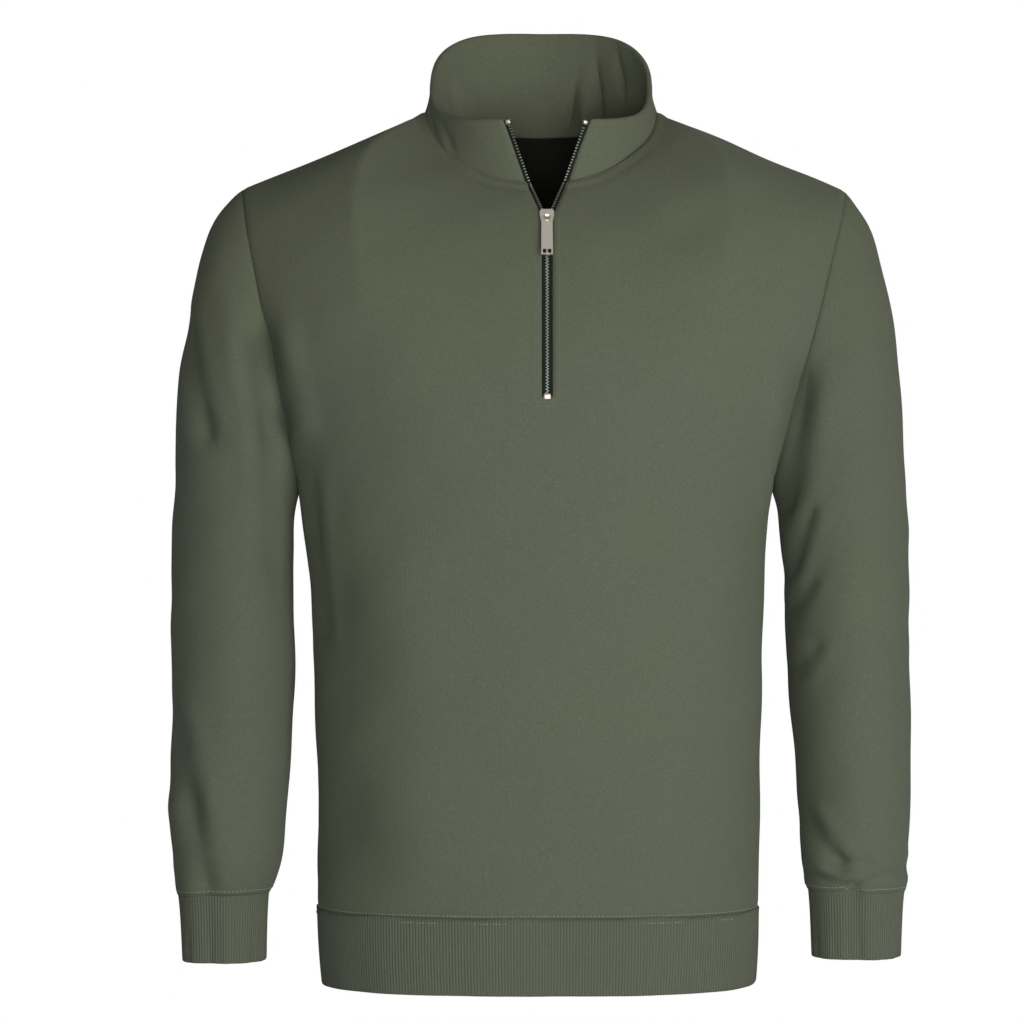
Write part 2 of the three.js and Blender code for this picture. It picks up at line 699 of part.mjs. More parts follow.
const topStops = [-1, 1].map((side) => {
  return stripGrid(visible, side, -TOP_STOP_LAP, CHAIN_WIDTH, [topStopFoot, topStopTop]);
});
const closedChain = middleGrid(visible, closedHeights);
const bottomStop = middleGrid(visible, stopHeights);

const sweater = new THREE.Group();

function addMesh(parent, name, geometry, colour, roughness, metalness) {
  const finished = geometry.index ? geometry : mergeVertices(geometry);
  finished.computeVertexNormals();
  const material = new THREE.MeshStandardMaterial({ color: colour, roughness, metalness });
  const mesh = new THREE.Mesh(finished, material);
  mesh.name = name;
  parent.add(mesh);
  return mesh;
}

function addCloth(name, geometry, colour = CLOTH_COLOUR) {
  addMesh(sweater, name, geometry, colour, 0.95, 0);
}

function addMetal(parent, name, geometry) {
  addMesh(parent, name, geometry, METAL_COLOUR, 0.35, 1);
}

const slit = slitSolid();
addCloth('front_panel', fromSolid(toSolid(wallGeometry(front, JERSEY)).subtract(slit)));
addCloth('back_panel', wallGeometry(back, JERSEY));
addCloth('collar', fromSolid(toSolid(wallGeometry(collar, COLLAR_CLOTH)).subtract(slit)));
addCloth('sleeve_left', wallGeometry(sleeveLeft, JERSEY));
addCloth('sleeve_right', wallGeometry(sleeveRight, JERSEY));
addCloth('cuff_left', wallGeometry(cuffLeft, RIB_CLOTH), RIB_COLOUR);
addCloth('cuff_right', wallGeometry(cuffRight, RIB_CLOTH), RIB_COLOUR);
addCloth('hem_band', wallGeometry(hem, RIB_CLOTH), RIB_COLOUR);

// Everything on the zip takes its direction from its own strip alone.
[...tapes, ...chains, closedChain, ...topStops, bottomStop].forEach((grid) => {
  acrossCloth.clear();
  addDirections(grid);
  grid.directions = new Map(acrossCloth);
});

function zipWall(grid, thickness) {
  acrossCloth.clear();
  grid.directions.forEach((direction, key) => acrossCloth.set(key, direction));
  return wallGeometry(grid, thickness, false);
}

['left', 'right'].forEach((side, i) => {
  addMesh(sweater, `zip_tape_${side}`, zipWall(tapes[i], TAPE_THICK), TAPE_COLOUR, 0.9, 0);
  addMetal(sweater, `zip_chain_${side}`, zipWall(chains[i], CHAIN_THICK));
  addMetal(sweater, `top_stop_${side}`, zipWall(topStops[i], TOP_STOP_THICK));
});
addMetal(sweater, 'zip_chain_closed', zipWall(closedChain, CHAIN_THICK));
addMetal(sweater, 'bottom_stop', zipWall(bottomStop, BOTTOM_STOP_THICK));

const above = frontSurfaceY(visible, ZIP_X, SLIDER_Z + SLIDER_HALF_HEIGHT);
const below = frontSurfaceY(visible, ZIP_X, SLIDER_Z - SLIDER_HALF_HEIGHT);
const slope = Math.atan2(above - below, 2 * SLIDER_HALF_HEIGHT);
const sliderFrame = new THREE.Group();
sliderFrame.position.set(ZIP_X, (above + below) / 2, SLIDER_Z);
sliderFrame.rotation.x = -slope;
addMetal(sliderFrame, 'slider', sliderGeometry());
const pull = new THREE.Group();
pull.position.set(0, PULL_Y, PULL_Z);
addMetal(pull, 'pull_tab', pullGeometry());
sliderFrame.add(pull);
sweater.add(sliderFrame);

export default sweater;
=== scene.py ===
# A quarter zip sweater of brushed cotton jersey, filled out as it is worn and hollow inside. The
# panels are cut and sewn with flat seams and topstitching; collar, cuffs and hem are doubled, and
# a metal zip with a swinging pull is set into a slit at the centre front.
import math
import bmesh
import bpy
import numpy as np
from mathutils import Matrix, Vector
from mathutils.bvhtree import BVHTree


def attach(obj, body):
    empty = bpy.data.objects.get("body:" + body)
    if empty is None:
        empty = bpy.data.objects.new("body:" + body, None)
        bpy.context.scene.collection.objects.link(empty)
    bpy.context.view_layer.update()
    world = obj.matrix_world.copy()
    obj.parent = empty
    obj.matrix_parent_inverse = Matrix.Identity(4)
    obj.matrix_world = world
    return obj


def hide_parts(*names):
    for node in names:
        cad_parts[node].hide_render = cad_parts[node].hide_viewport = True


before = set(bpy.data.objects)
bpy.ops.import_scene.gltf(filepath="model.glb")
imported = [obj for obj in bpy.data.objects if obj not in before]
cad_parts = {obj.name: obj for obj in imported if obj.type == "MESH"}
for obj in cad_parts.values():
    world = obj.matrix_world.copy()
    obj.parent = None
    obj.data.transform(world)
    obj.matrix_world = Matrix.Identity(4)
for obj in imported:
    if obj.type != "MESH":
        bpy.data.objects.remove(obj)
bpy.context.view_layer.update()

# ---------------------------------------------------------------- camera
# The sweater is seen square on from the front, from its mid height, through a long lens.
camera_place = (-0.0232, -3.45, -0.320)
object_plane_width = 0.8192
sensor = 36.0
bpy.ops.object.camera_add(location=camera_place, rotation=(math.pi / 2, 0, 0))
camera = bpy.context.object
camera.data.sensor_width = sensor
camera.data.lens = sensor * -camera_place[1] / object_plane_width
camera.data.clip_end = 30
bpy.context.scene.camera = camera

# ---------------------------------------------------------------- helpers
# Measures along the cloth's rows and columns, meshes with a cloth map, and the nodes that the
# materials share.


def run_along(points, axis):
    """Distance run from the first row or column of a grid, or along a line of points."""
    steps = np.linalg.norm(np.diff(points, axis=axis), axis=-1)
    first = np.zeros_like(steps[:, :1] if axis else steps[:1])
    return np.concatenate([first, np.cumsum(steps, axis=axis)], axis=axis)


def new_piece(name, points, faces, smooth=True):
    mesh = bpy.data.meshes.new(name)
    mesh.from_pydata(points.tolist(), [], faces)
    mesh.polygons.foreach_set("use_smooth", np.full(len(mesh.polygons), smooth))
    piece = bpy.data.objects.new(name, mesh)
    bpy.context.collection.objects.link(piece)
    return piece


def corner_points(mesh):
    """The point that each corner of each face stands on."""
    corner = np.empty(len(mesh.loops), np.int32)
    mesh.loops.foreach_get("vertex_index", corner)
    return corner


def map_cloth(mesh, u, v):
    """A UV map in metres, from a place on the flat cloth for each point."""
    flat = np.stack([u, v], axis=-1)[corner_points(mesh)]
    layer = mesh.uv_layers.new(name="cloth")
    layer.data.foreach_set("uv", flat.astype(np.float32).ravel())


def new_material(name):
    material = bpy.data.materials.new(name)
    material.use_nodes = True
    tree = material.node_tree
    return material, tree, tree.nodes["Principled BSDF"]


def set_sockets(node, **values):
    """Sets sockets by name; an underscore stands for a space."""
    for label, value in values.items():
        node.inputs[label.replace("_", " ")].default_value = value


def add_node(tree, kind, **values):
    node = tree.nodes.new("ShaderNode" + kind)
    set_sockets(node, **values)
    return node


def link(tree, source, output, target, socket):
    tree.links.new(source.outputs[output], target.inputs[socket])


def add_bump(tree, source, output, strength, distance, below=None):
    """A bump node fed by a texture, over the bump below if there is one."""
    bump = add_node(tree, "Bump", Strength=strength, Distance=distance)
    link(tree, source, output, bump, "Height")
    if below:
        link(tree, below, "Normal", bump, "Normal")
    return bump


def two_shades(tree, texture, first, second, shader):
    """A base colour that a texture moves between two shades."""
    shades = tree.nodes.new("ShaderNodeMix")
    shades.data_type = "RGBA"
    set_sockets(shades, A=(*first, 1), B=(*second, 1))
    link(tree, texture, "Fac", shades, "Factor")
    link(tree, shades, "Result", shader, "Base Color")


def cloth_map(tree):
    cloth = tree.nodes.new("ShaderNodeUVMap")
    cloth.uv_map = "cloth"
    return cloth

# ---------------------------------------------------------------- front and back panels
# Each is one piece of jersey, seamed to the other down the sides and along the shoulders. The
# panels widen over the chest, roll over the shoulders and are cut out for arms and neck.
jersey = 0.0020
shoulder_z = -0.064
hem_seam_z = -0.636
under_z = -0.295
sides = [
    # z, left, right, front depth, back depth
    (hem_seam_z, -0.177, 0.173, 0.116, 0.106),
    (-0.560, -0.179, 0.174, 0.120, 0.109),
    (-0.480, -0.181, 0.176, 0.124, 0.112),
    (-0.410, -0.185, 0.177, 0.126, 0.114),
    (-0.350, -0.188, 0.180, 0.127, 0.116),
    (under_z, -0.193, 0.184, 0.126, 0.116),
]
shoulder_left, shoulder_right = -0.239, 0.244
armhole_front, armhole_back = 0.062, 0.066
squareness = 2.5
roll_height, roll_power = 0.180, 0.72
neck_half, neck_front, neck_back = 0.091, 0.068, 0.076
neck_side_z, neck_front_drop, neck_back_drop = -0.002, 0.061, 0.010
side_rows, armhole_rows = 84, 60
shoulder_columns, neck_columns = 30, 34
zip_x = 0.004
slider_z = -0.091
slit_bottom_z = -0.236
cloth_edge = 0.0042
zip_opening_z = (slider_z + 0.0005, slider_z + 0.0065, -0.063, -0.013, 0.060)
zip_opening_half = (0.0003, 0.0026, 0.012, 0.030, 0.056)


def smooth_between(keys, values, at):
    """A curve through the rows of a table, level at neither end, smooth between them."""
    keys = np.asarray(keys, float)
    values = np.asarray(values, float)
    slopes = np.gradient(values, keys, axis=0)
    low = np.clip(np.searchsorted(keys, at) - 1, 0, len(keys) - 2)
    gap = keys[low + 1] - keys[low]
    t = (np.asarray(at) - keys[low]) / gap
    if values.ndim > 1:
        t = t[:, None]
        gap = gap[:, None]
    start = (2 * t**3 - 3 * t**2 + 1) * values[low] + (t**3 - 2 * t**2 + t) * gap * slopes[low]
    end = (3 * t**2 - 2 * t**3) * values[low + 1] + (t**3 - t**2) * gap * slopes[low + 1]
    return start + end


def neck_height(y):
    front = neck_side_z + neck_front_drop * y / neck_front
    back = neck_side_z - neck_back_drop * (np.abs(y) / neck_back) ** 1.5
    return np.where(y < 0, front, back)


def zip_half(z):
    """Half the opening between the rows of teeth, at a height."""
    return np.where(z < zip_opening_z[0], 0, np.interp(z, zip_opening_z, zip_opening_half))


ease_samples, ease_reach, ease_width = 401, 60, 0.024
ease_height, ease_edge = 0.09, 0.05


def ease_columns(points, heights, away):
    """Softens the bend that each column takes level with the underarm, except at the edges."""
    rows, columns = away.shape
    even = np.linspace(heights[0], heights[-1], ease_samples)
    step = even[1] - even[0]
    reach = ease_reach
    weight = np.exp(-0.5 * (np.arange(-reach, reach + 1) * step / ease_width) ** 2)
    weight /= weight.sum()
    flat = points.reshape(rows, -1)
    fine = np.stack([np.interp(even, heights, line) for line in flat.T], axis=-1)
    padded = np.pad(fine, ((reach, reach), (0, 0)), mode="reflect", reflect_type="odd")
    eased = sum(weight[k] * padded[k:k + len(even)] for k in range(2 * reach + 1))
    back = np.stack([np.interp(heights, even, line) for line in eased.T], axis=-1)
    near_arm = np.exp(-((heights - under_z) / ease_height) ** 2)[:, None]
    share = near_arm * np.clip((1 - away) / ease_edge, 0, 1)
    return points + (back.reshape(points.shape) - points) * share[..., None]


def panel_grid(front):
    """The middle surface of the front or back, rows from the hem seam up."""
    sign = 1 if front else -1
    depth_column = 3 if front else 4
    table = np.array(sides)
    z = np.linspace(hem_seam_z, under_z, side_rows + 1)[:-1]
    low = smooth_between(table[:, 0], table, z)
    turn = np.linspace(0, math.pi, armhole_rows + 1)
    share = (1 - np.cos(turn)) / 2
    left_x = np.concatenate([low[:, 1], table[-1, 1] + (shoulder_left - table[-1, 1]) * share])
    right_x = np.concatenate([low[:, 2], table[-1, 2] + (shoulder_right - table[-1, 2]) * share])
    edge_z = np.concatenate([z, under_z + (shoulder_z - under_z) * share])
    hole = (armhole_front if front else armhole_back) * np.sin(turn)
    side = np.concatenate([np.zeros(side_rows), hole])[:, None]
    full = np.concatenate([low[:, depth_column], np.full(len(turn), table[-1, depth_column])])[:, None]
    along = np.linspace(0, 1, shoulder_columns + 1)[:-1]
    angle = np.linspace(-math.pi / 2, math.pi / 2, 2 * neck_columns + 1)
    neck_depth = neck_front if front else neck_back
    neck_y = -sign * neck_depth * np.cos(angle)
    top_x = np.concatenate([
        shoulder_left + (-neck_half - shoulder_left) * along,
        neck_half * np.sin(angle),
        shoulder_right + (neck_half - shoulder_right) * along[::-1],
    ])
    flat = np.zeros(shoulder_columns)
    top_y = np.concatenate([flat, neck_y, flat])
    slope_z = shoulder_z + (neck_side_z - shoulder_z) * along
    top_z = np.concatenate([slope_z, neck_height(neck_y), slope_z[::-1]])
    count = len(top_x)
    even = np.linspace(0, 1, count)
    crowded = even * 0.35 + (1 - np.cos(math.pi * even)) / 2 * 0.65
    up = ((edge_z - hem_seam_z) / (shoulder_z - hem_seam_z))[:, None]
    above = (top_x - shoulder_left) / (shoulder_right - shoulder_left)
    across = crowded + (above - crowded) * up**24
    away = np.abs(2 * across - 1)
    body = hem_seam_z + (top_z - hem_seam_z) * up
    fall = np.clip((top_z - body) / roll_height, 0, 1)
    roll = (1 - (1 - fall) ** 2) ** roll_power
    swell = side**squareness + (full**squareness - side**squareness) * (1 - away**squareness)
    out = swell ** (1 / squareness) - side
    kept = roll + (1 - roll) * away**4
    y = top_y * (1 - roll) - sign * out * roll - sign * side * kept
    x = left_x[:, None] + (right_x - left_x)[:, None] * across
    return ease_columns(np.stack([x, y, body + 0 * x], axis=-1), edge_z, away)


slit_gap, slit_spread = 0.0001, 0.075


def open_for_zip(grid):
    """Doubles the middle column and draws the two apart for the slit."""
    middle = grid.shape[1] // 2
    split = np.concatenate([grid[:, :middle + 1], grid[:, middle:]], axis=1)
    x = split[:, :, 0]
    z = split[:, :, 2]
    half = np.where(z > slit_bottom_z, zip_half(z) + cloth_edge, slit_gap)
    target = zip_x + half * np.where(np.arange(split.shape[1]) <= middle, -1, 1)
    centre = grid[:, middle:middle + 1, 0]
    near = np.clip(1 - np.abs(x - centre) / slit_spread, 0, 1)
    moved = x + (target - centre) * near
    y = np.empty_like(x)
    for row in range(x.shape[0]):
        y[row] = np.interp(moved[row], grid[row, :, 0], grid[row, :, 1])
    height = np.empty_like(x)
    for row in range(x.shape[0]):
        height[row] = np.interp(moved[row], grid[row, :, 0], grid[row, :, 2])
    return np.stack([moved, y, height], axis=-1)


front_grid = open_for_zip(panel_grid(True))
back_grid = panel_grid(False)

# ---------------------------------------------------------------- sleeves
# One piece each, set into the armhole and closed by a seam under the arm. They hang a little
# forward, and narrow to the cuff.
sleeve_tables = {
    # outer x, outer z, inner x, inner z, front depth, back depth, middle y
    "left": [
        (-0.239, -0.064, -0.193, -0.295, 0.062, 0.066, 0.000),
        (-0.258, -0.086, -0.197, -0.320, 0.067, 0.069, 0.000),
        (-0.271, -0.116, -0.198, -0.346, 0.071, 0.072, 0.000),
        (-0.280, -0.160, -0.198, -0.374, 0.072, 0.073, 0.000),
        (-0.287, -0.212, -0.198, -0.404, 0.070, 0.071, -0.001),
        (-0.291, -0.278, -0.198, -0.440, 0.067, 0.067, -0.003),
        (-0.293, -0.360, -0.199, -0.480, 0.062, 0.062, -0.005),
        (-0.294, -0.446, -0.201, -0.524, 0.057, 0.057, -0.007),
        (-0.294, -0.526, -0.205, -0.566, 0.052, 0.052, -0.009),
        (-0.293, -0.592, -0.210, -0.602, 0.046, 0.046, -0.011),
        (-0.291, -0.624, -0.216, -0.622, 0.038, 0.038, -0.012),
    ],
    "right": [
        (0.244, -0.064, 0.184, -0.295, 0.062, 0.066, 0.000),
        (0.262, -0.092, 0.189, -0.320, 0.067, 0.069, 0.000),
        (0.272, -0.124, 0.192, -0.344, 0.071, 0.072, 0.000),
        (0.280, -0.164, 0.195, -0.372, 0.072, 0.073, 0.000),
        (0.286, -0.216, 0.197, -0.402, 0.070, 0.071, -0.001),
        (0.290, -0.280, 0.199, -0.440, 0.067, 0.067, -0.003),
        (0.292, -0.362, 0.201, -0.480, 0.062, 0.062, -0.005),
        (0.293, -0.446, 0.204, -0.522, 0.057, 0.057, -0.007),
        (0.293, -0.524, 0.207, -0.562, 0.052, 0.052, -0.009),
        (0.292, -0.588, 0.210, -0.600, 0.046, 0.046, -0.011),
        (0.290, -0.621, 0.213, -0.619, 0.038, 0.038, -0.012),
    ],
}
sleeve_rows = 150


def sleeve_ring(row, turn):
    share = (1 - np.cos(turn)) / 2
    depth = np.sin(turn) * np.where(np.sin(turn) > 0, row[..., 4:5], row[..., 5:6])
    x = row[..., 2:3] + (row[..., 0:1] - row[..., 2:3]) * share
    z = row[..., 3:4] + (row[..., 1:2] - row[..., 3:4]) * share
    return np.stack([x, row[..., 6:7] - depth, z], axis=-1)


def sleeve_grid(side):
    table = np.array(sleeve_tables[side])
    mid_z = (table[:, 1] + table[:, 3]) / 2
    down = np.concatenate([[0], np.cumsum(-np.diff(mid_z))])
    at = np.linspace(0, down[-1], sleeve_rows + 1)
    rows = smooth_between(down, table, at)
    turn = np.linspace(0, 2 * math.pi, 2 * armhole_rows + 1)[:-1]
    return sleeve_ring(rows, turn)


left_grid = sleeve_grid("left")
right_grid = sleeve_grid("right")

# The cloth that these four share is creased and mottled as one. Each crease is a soft trough
# along a line seen from the front or the back, as long and deep as it lies on the wearer.
creases = [
    # x, z at one end, x, z at the other, half width, depth, from the front (-1) or back (1)
    (-0.181, -0.300, -0.178, -0.415, 0.0060, 0.0040, -1),
    (-0.170, -0.370, -0.158, -0.560, 0.0300, 0.0070, -1),
    (0.168, -0.330, 0.166, -0.430, 0.0120, 0.0025, -1),
    (-0.284, -0.164, -0.262, -0.255, 0.0070, 0.0060, -1),
    (-0.294, -0.480, -0.277, -0.545, 0.0090, 0.0050, -1),
    (-0.277, -0.545, -0.264, -0.612, 0.0080, 0.0045, -1),
    (-0.221, -0.180, -0.209, -0.250, 0.0110, 0.0125, -1),
    (-0.214, -0.262, -0.209, -0.360, 0.0090, 0.0045, -1),
    (0.205, -0.215, 0.193, -0.310, 0.0090, 0.0075, -1),
    (0.196, -0.373, 0.212, -0.322, 0.0050, 0.0045, -1),
    (0.198, -0.400, 0.210, -0.378, 0.0055, 0.0030, -1),
    (0.202, -0.447, 0.214, -0.428, 0.0060, 0.0030, -1),
    (0.208, -0.560, 0.232, -0.594, 0.0060, 0.0045, -1),
    (0.232, -0.594, 0.256, -0.600, 0.0060, 0.0030, -1),
    (0.214, -0.606, 0.245, -0.616, 0.0045, 0.0040, -1),
    (0.245, -0.616, 0.288, -0.602, 0.0045, 0.0040, -1),
    (-0.150, -0.090, -0.070, -0.170, 0.0300, 0.0010, -1),
    (0.150, -0.095, 0.080, -0.170, 0.0300, 0.0012, -1),
    (0.060, -0.072, 0.110, -0.098, 0.0160, 0.0020, -1),
    (-0.180, -0.310, -0.120, -0.250, 0.0120, 0.0040, 1),
    (0.176, -0.320, 0.110, -0.262, 0.0110, 0.0045, 1),
    (-0.165, -0.420, -0.140, -0.600, 0.0200, 0.0050, 1),
    (0.160, -0.400, 0.130, -0.590, 0.0220, 0.0060, 1),
    (-0.060, -0.560, -0.010, -0.630, 0.0140, 0.0030, 1),
    (0.070, -0.530, 0.050, -0.628, 0.0120, 0.0030, 1),
    (-0.290, -0.300, -0.225, -0.360, 0.0100, 0.0050, 1),
    (-0.290, -0.390, -0.230, -0.410, 0.0100, 0.0055, 1),
    (0.288, -0.310, 0.225, -0.365, 0.0100, 0.0055, 1),
    (0.290, -0.405, 0.232, -0.420, 0.0110, 0.0050, 1),
    (-0.290, -0.590, -0.240, -0.612, 0.0060, 0.0040, 1),
    (0.285, -0.585, 0.235, -0.608, 0.0060, 0.0040, 1),
]


uneven_height = 0.0011
held_width, held_fade = 0.008, 0.016
held_below, held_end = 0.012, 0.004


def crease_height(points, normals):
    """How far the cloth moves out at each point, for all the creases and its gentle unevenness."""
    x, y, z = points[..., 0], points[..., 1], points[..., 2]
    height = np.zeros_like(x)
    for x0, z0, x1, z1, half, depth, facing in creases:
        run = np.array([x1 - x0, z1 - z0])
        length = np.hypot(*run)
        run = run / length
        along = (x - x0) * run[0] + (z - z0) * run[1]
        over = (x - x0) * run[1] - (z - z0) * run[0]
        beyond = np.maximum(np.maximum(-along, along - length), 0)
        trough = np.exp(-(over / half) ** 2) - 0.45 * np.exp(-((np.abs(over) - 2.1 * half) / half) ** 2)
        fade = np.exp(-(beyond / (1.6 * half)) ** 2) * (0.75 + 0.25 * np.sin(along / length * 7))
        seen = 1 / (1 + np.exp(-9 * (facing * normals[..., 1] - 0.1)))
        height -= depth * trough * fade * seen
    uneven = np.sin(31 * x + 17 * z + 1.2) * np.sin(23 * z - 19 * y + 0.4)
    uneven += 0.6 * np.sin(57 * x - 41 * z + 2.1) * np.sin(63 * y + 37 * z)
    # The zip and its topstitching hold the cloth flat.
    beside_zip = np.abs(x - zip_x) - zip_half(z)
    held = np.exp(-(np.maximum(beside_zip - held_width, 0) / held_fade) ** 2)
    held = held * (y < 0) / (1 + np.exp(-(z - slit_bottom_z + held_below) / held_end))
    return (height + uneven_height * uneven) * (1 - held)


def grid_normals(grid, closed, outward):
    """Area weighted directions at a grid's points."""
    wide = np.concatenate([grid, grid[:, :1]], axis=1) if closed else grid
    one = wide[1:, 1:] - wide[:-1, :-1]
    two = wide[1:, :-1] - wide[:-1, 1:]
    face = np.cross(one, two) * outward
    total = np.zeros_like(wide)
    for rows in (slice(0, -1), slice(1, None)):
        for columns in (slice(0, -1), slice(1, None)):
            total[rows, columns] += face
    if closed:
        total[:, 0] += total[:, -1]
        total = total[:, :-1]
    return total


def shared_normals(grids):
    """Unit directions across the cloth, averaged where pieces meet."""
    raw = [grid_normals(grid, closed, outward) for grid, closed, outward in grids]
    points = np.concatenate([grid.reshape(-1, 3) for grid, _, _ in grids])
    keys = np.round(points / 2e-5).astype(np.int64)
    _, group = np.unique(keys, axis=0, return_inverse=True)
    group = group.ravel()
    flat = np.concatenate([normals.reshape(-1, 3) for normals in raw])
    flat /= np.maximum(np.linalg.norm(flat, axis=1, keepdims=True), 1e-12)
    total = np.zeros((group.max() + 1, 3))
    np.add.at(total, group, flat)
    total /= np.maximum(np.linalg.norm(total, axis=1, keepdims=True), 1e-12)
    shared = total[group]
    result = []
    start = 0
    for grid, _, _ in grids:
        size = grid.shape[0] * grid.shape[1]
        result.append(shared[start:start + size].reshape(grid.shape))
        start += size
    return result


body_kinds = [(False, 1), (False, -1), (True, 1), (True, -1)]
plain = [front_grid, back_grid, left_grid, right_grid]
kinds = [(grid, *kind) for grid, kind in zip(plain, body_kinds)]
plain_normals = shared_normals(kinds)
# A flat seam draws the cloth in along each edge, by less than its own thickness.
seam_pinch, seam_reach = 0.0011, 0.0035


def edge_distance(grid, closed):
    """Distance along the cloth to the nearest seamed edge."""
    down = run_along(grid, 0)
    nearest = np.minimum(np.minimum(1.0, down), down[-1] - down)
    if not closed:
        over = run_along(grid, 1)
        nearest = np.minimum(nearest, np.minimum(over, over[:, -1:] - over))
    return nearest


neck_turn = np.linspace(0, 2 * math.pi, 361)
neck_y = -np.cos(neck_turn) * np.where(np.cos(neck_turn) > 0, neck_front, neck_back)
neck_path = np.stack([neck_half * np.sin(neck_turn), neck_y, neck_height(neck_y)], axis=-1)
allowance, ridge, ridge_step = 0.0082, 0.0017, 0.0005
trough_out, trough_width, trough_share = 0.0009, 0.0011, 0.55


def neck_ridge(grid):
    """The seam allowance of the neck, turned down under the body cloth and stitched flat."""
    near = np.full(grid.shape[:2], 1.0)
    for spot in neck_path:
        near = np.minimum(near, np.linalg.norm(grid - spot, axis=-1))
    inside = 1 / (1 + np.exp((near - allowance) / ridge_step))
    trough = np.exp(-((near - allowance - trough_out) / trough_width) ** 2)
    return ridge * inside - trough_share * ridge * trough


creased = []
for grid, normals, (closed, _) in zip(plain, plain_normals, body_kinds):
    lift = crease_height(grid, normals)
    if not closed:
        lift = lift + neck_ridge(grid)
    away = edge_distance(grid, closed)
    lift = lift - seam_pinch * np.exp(-(away / seam_reach) ** 2)
    creased.append(grid + normals * lift[..., None])
# The armhole and side seams stay one line: each shared point takes the same lift from both sides.
creased_kinds = [(grid, *kind) for grid, kind in zip(creased, body_kinds)]
creased_normals = shared_normals(creased_kinds)


def cloth_object(name, grid, normals, thickness, closed, outward, present=None):
    """The closed wall of a grid, with a UV map in metres along the cloth's rows and columns."""
    rows, columns = grid.shape[:2]
    wide = columns if closed else columns - 1
    if present is None:
        present = np.ones((rows - 1, wide), bool)
    outer = grid + normals * thickness / 2
    inner = grid - normals * thickness / 2
    points = np.concatenate([outer.reshape(-1, 3), inner.reshape(-1, 3)])
    number = np.arange(rows * columns).reshape(rows, columns)
    right = np.roll(number, -1, axis=1)[:, :wide]
    left = number[:, :wide]
    quads = np.stack([left[:-1], right[:-1], right[1:], left[1:]], axis=-1)[present]
    back = quads[:, ::-1] + rows * columns
    padded = np.zeros((rows + 1, wide + 2), bool)
    padded[1:-1, 1:-1] = present
    if closed:
        padded[:, 0] = padded[:, -2]
        padded[:, -1] = padded[:, 1]
    walls = []
    shift = rows * columns
    low = padded[1:, 1:-1] & ~padded[:-1, 1:-1]
    high = padded[:-1, 1:-1] & ~padded[1:, 1:-1]
    for mask, start, end in ((low, left, right), (high, right, left)):
        a, b = start[mask], end[mask]
        walls.append(np.stack([b, a, a + shift, b + shift], axis=-1))
    if not closed:
        first = padded[1:-1, 1:] & ~padded[1:-1, :-1]
        last = padded[1:-1, :-1] & ~padded[1:-1, 1:]
        for mask, upward in ((first, True), (last, False)):
            a, b = number[:-1][mask], number[1:][mask]
            order = [a, b, b + shift, a + shift] if upward else [b, a, a + shift, b + shift]
            walls.append(np.stack(order, axis=-1))
    faces = np.concatenate([quads, back, *walls])
    if outward < 0:
        faces = faces[:, ::-1]
    piece = new_piece(name, points, faces.tolist())
    v = run_along(grid, 0)
    u = run_along(grid, 1)
    u = u - u[:, -1:] / 2
    map_cloth(piece.data, np.tile(u.ravel(), 2), np.tile(v.ravel(), 2))
    clean_loose(piece.data)
    return piece


def clean_loose(mesh):
    """Removes the points that no face uses, as under the slit."""
    used = np.zeros(len(mesh.vertices), bool)
    used[corner_points(mesh)] = True
    if used.all():
        return
    shape = bmesh.new()
    shape.from_mesh(mesh)
    shape.verts.ensure_lookup_table()
    loose = [vert for vert in shape.verts if not used[vert.index]]
    bmesh.ops.delete(shape, geom=loose, context="VERTS")
    shape.to_mesh(mesh)
    shape.free()


middle_column = front_grid.shape[1] // 2 - 1
slit = np.ones((front_grid.shape[0] - 1, front_grid.shape[1] - 1), bool)
slit[front_grid[:-1, middle_column, 2] > slit_bottom_z, middle_column] = False
front = cloth_object("front_cloth", creased[0], creased_normals[0], jersey, False, 1, slit)
back = cloth_object("back_cloth", creased[1], creased_normals[1], jersey, False, -1)
left_sleeve = cloth_object("sleeve_left_cloth", creased[2], creased_normals[2], jersey, True, 1)
right_sleeve = cloth_object("sleeve_right_cloth", creased[3], creased_normals[3], jersey, True, -1)


